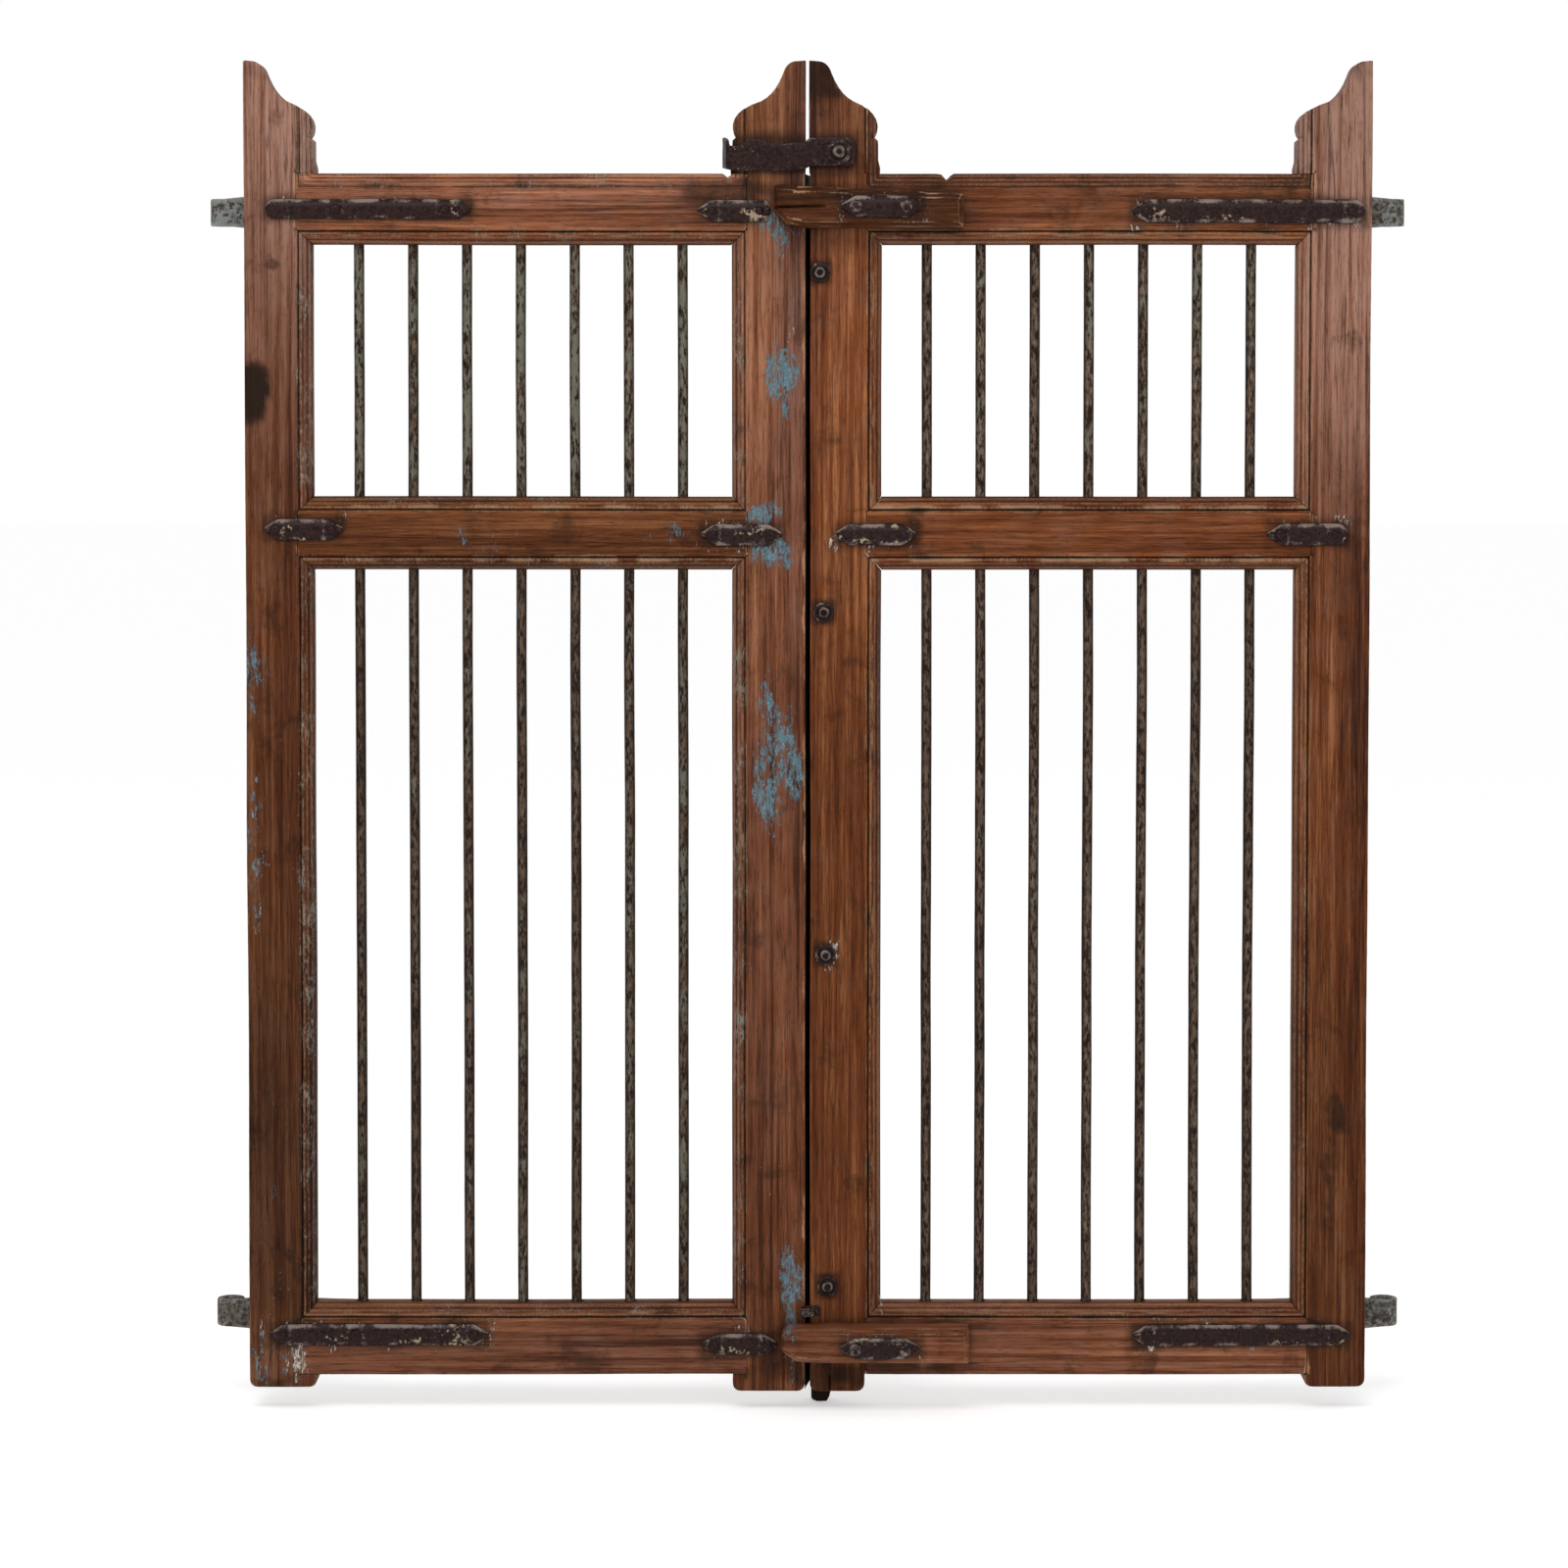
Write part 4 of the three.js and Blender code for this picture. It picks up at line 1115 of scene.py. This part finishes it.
# stations: (x, y, normal x, normal y, half thickness, z low, z high), along the strip
def bentStrip(stations, hammer, wearSides=0.3, paint=0.0):
    mesh, wear, dirt, left = ironMesh()
    corner = 0.22
    rings = []
    for x, y, nx, ny, half, zLow, zHigh in stations:
        rounding = min(1.3 * mm, (zHigh - zLow) * 0.2)
        section = [
            (-1.0 + corner, zLow), (1.0 - corner, zLow), (1.0, zLow + rounding),
            (1.0, (zLow * 3 + zHigh) / 4), (1.0, (zLow + zHigh) / 2), (1.0, (zLow + zHigh * 3) / 4),
            (1.0, zHigh - rounding), (1.0 - corner, zHigh), (-1.0 + corner, zHigh),
            (-1.0, zHigh - rounding), (-1.0, (zLow + zHigh) / 2), (-1.0, zLow + rounding),
        ]
        ring = []
        for s, z in section:
            spot = Vector((x + nx * s * half, y + ny * s * half, z))
            dent = noise.noise(spot * 80)
            small = noise.noise(spot * 260 + Vector((3, 3, 3)))
            push = (dent * 0.8 + small * 0.35) * hammer
            edge = 1.0 if abs(z - zLow) < 2 * rounding or abs(z - zHigh) < 2 * rounding else 0.0
            shift = Vector((nx * push * (s > 0), ny * push * (s > 0), push * 0.6 * edge))
            vert = mesh.verts.new(spot + shift)
            vert[wear] = clampTo((0.25 + 0.75 * edge) * wearSides + 0.2 * dent)
            vert[dirt] = 0.0
            vert[left] = paint
            ring.append(vert)
        rings.append(ring)
    return skinRings(mesh, rings)


hinge = {
    "thick": 5.0 * mm,
    "rollThick": 6.0 * mm,
    "nails": (50, 120, 200, 284),
    "hammer": 0.4 * mm,
    "wrap": 262,  # degrees of the roll
    "wrapSteps": 40,
    "bandSteps": 52,
    "wide": 16.25 * mm,  # half the band's height beside the eye
    "narrow": 11 * mm,  # the same towards its tip
    "flareEnd": 26 * mm,
    "taperStart": 56 * mm,
    "taperLength": 194 * mm,
    "tip": 18 * mm,
    "standOff": 0.3 * mm,
    "looks": {
        ("left", "top"): (0.07, 0.40),
        ("left", "bottom"): (-0.03, 0.22),
        ("right", "top"): (0.0, 0.30),
        ("right", "bottom"): (-0.02, 0.25),
    },
}


def hingeStations(side, node, pinNode):
    pinLow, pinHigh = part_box(pinNode)
    centre = (pinLow + pinHigh) / 2
    low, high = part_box(node)
    zMid = (low.z + high.z) / 2
    half = (pinHigh.z - pinLow.z + 8 * mm) / 2
    radius = centre.y - (leafBack + hinge["standOff"])
    middle = radius - hinge["rollThick"] / 2
    sign = -1 if side == "left" else 1
    stations = []
    turns = hinge["wrapSteps"]
    for i in range(turns + 1):
        angle = math.radians(hinge["wrap"]) * (1 - i / turns)
        out = Vector((math.sin(angle) * sign, -math.cos(angle)))
        grow = 0.35 * mm * (angle / math.radians(hinge["wrap"]))
        stations.append(
            (centre.x + out.x * (middle - grow), centre.y + out.y * (middle - grow), out.x, out.y,
             hinge["rollThick"] / 2, zMid - half, zMid + half)
        )
    length = abs((low.x if side == "right" else high.x) - centre.x)
    count = hinge["bandSteps"]
    for i in range(1, count + 1):
        s = length * i / count
        y = leafBack + hinge["standOff"] + hinge["rollThick"] / 2 - 0.5 * mm * clampTo(s / (20 * mm))
        if s < hinge["flareEnd"]:
            wide = half + (hinge["wide"] - half) * (s / hinge["flareEnd"])
        elif s < hinge["taperStart"]:
            wide = hinge["wide"]
        else:
            taper = clampTo((s - hinge["taperStart"]) / hinge["taperLength"])
            wide = hinge["wide"] + (hinge["narrow"] - hinge["wide"]) * taper
        wide *= clampTo((length - s) / hinge["tip"] + 0.12)
        stations.append((centre.x - sign * s, y, 0, -1, hinge["thick"] / 2, zMid - wide, zMid + wide))
    return stations


for side in ("left", "right"):
    points = []
    for place in ("top", "bottom"):
        node = f"{side}_{place}_hinge_band"
        pinNode = f"{side}_{place}_pin"
        paint, worn = hinge["looks"][(side, place)]
        mesh = bentStrip(hingeStations(side, node, pinNode), hinge["hammer"], worn, paint)
        finish(mesh, pieceName(node), bandIron, side + "_leaf", [node], 0.7)
        low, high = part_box(pinNode)
        sign = -1 if side == "left" else 1
        bandLow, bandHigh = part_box(node)
        for away in hinge["nails"]:
            points.append(
                ((low.x + high.x) / 2 - sign * away * mm, leafBack + 5.6 * mm, (bandLow.z + bandHigh.z) / 2)
            )
    nailsAt(side + "BandNails", points, side + "_leaf", bandIron)
print("hinge bands rolled")

hasp = {"thick": 4.0 * mm, "hammer": 0.35 * mm, "bend": 5.0 * mm}


def haspStations():
    low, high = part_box("hasp")
    front = low.y
    half = hasp["thick"] / 2
    left = low.x + 3.5 * mm
    outline = [
        (high.x, 1276, 1298), (high.x - 2 * mm, 1274, 1300.5), (high.x - 6 * mm, 1272.7, 1301.3),
        (30 * mm, 1272.6, 1301.4), (12 * mm, 1272.8, 1301.0), (2 * mm, 1272.2, 1300.4),
        (-1 * mm, 1270.4, 1298.6), (-4 * mm, 1269.4, 1295.6), (-14 * mm, 1268.2, 1296.0),
        (-26 * mm, 1267.6, 1294.4), (-38 * mm, 1267.6, 1295.0), (-46 * mm, 1268.4, 1298.2),
        (-56 * mm, 1268.6, 1300.2), (-62 * mm, 1267.6, 1298.8), (-66 * mm, 1267.4, 1294.0),
        (-72 * mm, 1269.0, 1291.0),
    ]
    stations = []
    for (x1, a1, b1), (x2, a2, b2) in zip(outline, outline[1:]):
        steps = max(1, round(abs(x2 - x1) / (3 * mm)))
        for i in range(steps):
            t = i / steps
            stations.append(
                (x1 + (x2 - x1) * t, front + half, 0, -1, half,
                 (a1 + (a2 - a1) * t) * mm, (b1 + (b2 - b1) * t) * mm)
            )
    bend = hasp["bend"]
    turnX, turnY = left + bend, front + bend
    for i in range(9):
        angle = math.radians(90) * i / 8
        out = Vector((-math.sin(angle), -math.cos(angle)))
        away = bend - half
        t = i / 8
        stations.append(
            (turnX + out.x * away, turnY + out.y * away, out.x, out.y, half,
             (1268.5 + 1.0 * t) * mm, (1293.0 + 5.0 * t) * mm)
        )
    backEnd = leafFront + 15.5 * mm
    startY = turnY
    for i in range(1, 7):
        t = i / 6
        y = startY + (backEnd - startY) * t
        flare = 3.0 * mm * t * t
        zLow, zHigh = (1269.5 + 1.5 * t) * mm, (1298 + 4 * t) * mm
        stations.append((left + half - flare, y, -1, -0.2, half, zLow, zHigh))
    return stations


haspMesh = bentStrip(haspStations(), hasp["hammer"], 0.12, -0.02)
finish(haspMesh, "haspStrap", strapIron, "hasp", ["hasp"], 0.7)

keeper = {"turns": 4, "wire": 1.75 * mm, "sides": 8, "steps": 22, "hammer": 0.3 * mm, "plate": 2.4 * mm}


# a close coil of wire whose end is beaten flat and let into the stile
def keeperMesh():
    low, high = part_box("keeper_eye")
    centre = Vector((low.x + 8 * mm, (low.y + high.y) / 2))
    radius = 8 * mm - keeper["wire"]
    bottom = low.z + keeper["wire"]
    rise = (high.z - low.z - 2 * keeper["wire"]) / keeper["turns"]
    plate = []
    for i in range(7):
        x = centre.x + (high.x - centre.x) * i / 6
        half = keeper["plate"] / 2
        plate.append((x, high.y - half, 0, 1, half, low.z + 1 * mm, high.z - 1 * mm))
    mesh = bentStrip(plate, keeper["hammer"], 0.2, 0.03)
    wear = mesh.verts.layers.float["wear"]
    left = mesh.verts.layers.float["paintLeft"]
    rings = []
    total = keeper["turns"] * keeper["steps"]
    for i in range(total + 1):
        angle = 2 * math.pi * i / keeper["steps"]
        out = Vector((math.cos(angle), math.sin(angle)))
        ring = []
        for j in range(keeper["sides"]):
            turn = 2 * math.pi * j / keeper["sides"]
            reach = radius + math.cos(turn) * keeper["wire"]
            spot = Vector((
                centre.x + out.x * reach,
                centre.y + out.y * reach,
                bottom + rise * i / keeper["steps"] + math.sin(turn) * keeper["wire"],
            ))
            dent = Vector((out.x, out.y, 0)) * noise.noise(spot * 300) * keeper["hammer"]
            vert = mesh.verts.new(spot + dent)
            # painted highlight on the outward side of each turn of wire
            vert[wear] = 0.24 * clampTo(math.cos(turn))
            vert[left] = 0.03
            ring.append(vert)
        rings.append(ring)
    return skinRings(mesh, rings)


finish(keeperMesh(), "keeperEye", strapIron, "right_leaf", ["keeper_eye"], 0.8)
print("hasp and keeper bent")

# profile: (radius, place along the axis, wear, dirt with painted shade in creases and at the foot, paint)
# in metres, on an axis "y" or "z"
def turned(profile, centre, axis, segments, hammer=0.2 * mm, wearFrom=0.5):
    mesh, wear, dirt, left = ironMesh()
    rings = []
    for radius, place, wornHere, dirtAndShadeHere, paintHere in profile:
        ring = []
        for i in range(segments if radius > 0 else 1):
            angle = 2 * math.pi * i / segments
            a, b = math.cos(angle) * radius, math.sin(angle) * radius
            spot = Vector((a, place, b)) if axis == "y" else Vector((a, b, place))
            spot += Vector((centre[0], 0, centre[1])) if axis == "y" else Vector((centre[0], centre[1], 0))
            dent = noise.noise(spot * 170)
            if radius > 0:
                outwards = Vector((a, 0, b)) if axis == "y" else Vector((a, b, 0))
                spot += outwards.normalized() * dent * hammer
            vert = mesh.verts.new(spot)
            vert[wear] = clampTo(wornHere + 0.3 * dent)
            vert[dirt] = dirtAndShadeHere
            vert[left] = paintHere + 0.08 * dent
            ring.append(vert)
        rings.append(ring)
    for a, b in zip(rings, rings[1:]):
        for i in range(segments):
            j = (i + 1) % segments
            if len(a) == 1:
                mesh.faces.new((a[0], b[j], b[i]))
            elif len(b) == 1:
                mesh.faces.new((a[i], a[j], b[0]))
            else:
                mesh.faces.new((a[i], a[j], b[j], b[i]))
    bmesh.ops.recalc_face_normals(mesh, faces=mesh.faces[:])
    return mesh


# rows in millimetres; the place is measured from start
def scaledProfile(rows, start):
    return [(r * mm, start + y * mm, w, d, p) for r, y, w, d, p in rows]


# the dark values under the dome and at the foot against the wood are painted shade
studRows = [
    (0, -6.6, 0.1, 0.5, 0), (2.6, -6.9, 0.1, 0.4, 0), (4.2, -6.4, 0.35, 0.0, 0), (5.6, -4.6, 0.2, 0.1, 0),
    (6.0, -2.9, 0.0, 0.7, 0), (6.8, -2.4, 0.0, 0.6, 0.02), (9.4, -2.2, 0.05, 0.0, 0.05),
    (10.4, -1.6, 0.16, 0.0, 0.03), (10.6, -0.6, 0.0, 0.3, 0), (10.2, 0.0, 0.0, 0.8, 0), (3.0, 0.0, 0, 1, 0),
]
for i in range(1, 5):
    node = f"cover_stud_{i}"
    low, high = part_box(node)
    centre = middleOf(node, (0, 2))
    rows = scaledProfile(studRows, leafFront - 0.3 * mm)
    tail = high.y - 2.5 * mm
    rows += [
        (3.0 * mm, tail, 0, 0, 0), (5.4 * mm, tail + 0.1 * mm, 0.1, 0, 0),
        (5.0 * mm, tail + 1.4 * mm, 0.3, 0, 0), (3.2 * mm, tail + 2.4 * mm, 0.3, 0, 0),
        (0, tail + 2.5 * mm, 0.2, 0, 0),
    ]
    stud = turned(rows, centre, "y", 28)
    finish(stud, pieceName(node), strapIron, "right_leaf", [node], 0.7)

boltHeadRows = [
    (0, -4.0, 0.1, 0.0, 0.02), (2.8, -3.9, 0.2, 0.0, 0.03), (5.0, -2.9, 0.3, 0.0, 0.02),
    (6.4, -1.0, 0.25, 0.1, 0), (6.5, 0.0, 0.0, 0.6, 0), (4.0, 0.0, 0, 1, 0),
]
for place in ("top", "bottom"):
    for i in (1, 2):
        node = f"{place}_cleat_bolt_{i}"
        low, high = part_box(node)
        centre = middleOf(node, (0, 2))
        rows = scaledProfile(boltHeadRows, low.y + 4.0 * mm - 0.3 * mm)
        nut = high.y - 6 * mm
        rows += [
            (4.0 * mm, nut, 0, 0, 0), (7.9 * mm, nut, 0.1, 0.2, 0),
            (8.0 * mm, nut + 4.6 * mm, 0.3, 0, 0), (7.0 * mm, nut + 5.9 * mm, 0.3, 0, 0),
            (4.2 * mm, nut + 6.0 * mm, 0.2, 0.3, 0), (0, nut + 6.0 * mm, 0, 0, 0),
        ]
        bolt = turned(rows, centre, "y", 28)
        finish(bolt, pieceName(node), strapIron, "right_leaf", [node], 0.7)

haspBoltRows = [
    (0, -8.6, 0.1, 0.3, 0), (2.4, -9.0, 0.2, 0.2, 0), (4.2, -8.6, 0.35, 0.0, 0),
    (6.3, -6.4, 0.25, 0.0, 0), (6.6, -2.8, 0.0, 0.8, 0), (7.6, -2.3, 0.0, 0.7, 0),
    (9.0, -2.4, 0.15, 0.1, 0.02), (11.4, -2.3, 0.10, 0.0, 0.02), (12.5, -1.6, 0.18, 0.0, 0.0),
    (12.6, -0.4, 0.0, 0.3, 0), (12.2, 0.0, 0, 0.8, 0), (4.5, 0.0, 0, 1, 0),
]
low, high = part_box("hasp_bolt")
centre = middleOf("hasp_bolt", (0, 2))
rows = scaledProfile(haspBoltRows, low.y + 9.0 * mm)
nut = high.y - 6 * mm
rows += [
    (4.5 * mm, nut, 0, 0, 0), (8.9 * mm, nut, 0.1, 0.2, 0), (9.0 * mm, nut + 4.8 * mm, 0.3, 0, 0),
    (8.0 * mm, nut + 5.9 * mm, 0.3, 0, 0), (0, nut + 6 * mm, 0, 0, 0),
]
finish(turned(rows, centre, "y", 32), "haspBolt", strapIron, "right_leaf", ["hasp_bolt"], 0.7)

for side in ("left", "right"):
    for place in ("top", "bottom"):
        node = f"{side}_{place}_pin"
        low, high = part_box(node)
        centre = middleOf(node, (0, 1))
        radius = (high.x - low.x) / 2
        rows = [
            (0, low.z, 0, 0.2, 0), (radius - 0.8 * mm, low.z, 0.2, 0.1, 0),
            (radius, low.z + 0.8 * mm, 0.2, 0, 0), (radius, (low.z + high.z) / 2, 0, 0, 0),
            (radius, high.z - 1.6 * mm, 0.2, 0, 0), (radius - 1.6 * mm, high.z, 0.4, 0, 0),
            (0, high.z, 0.1, 0, 0),
        ]
        pin = turned(rows, centre, "z", 32, 0.05 * mm)
        finish(pin, pieceName(node), strapIron, "pins", [node], 0.6)
print("studs, bolts and pins turned")
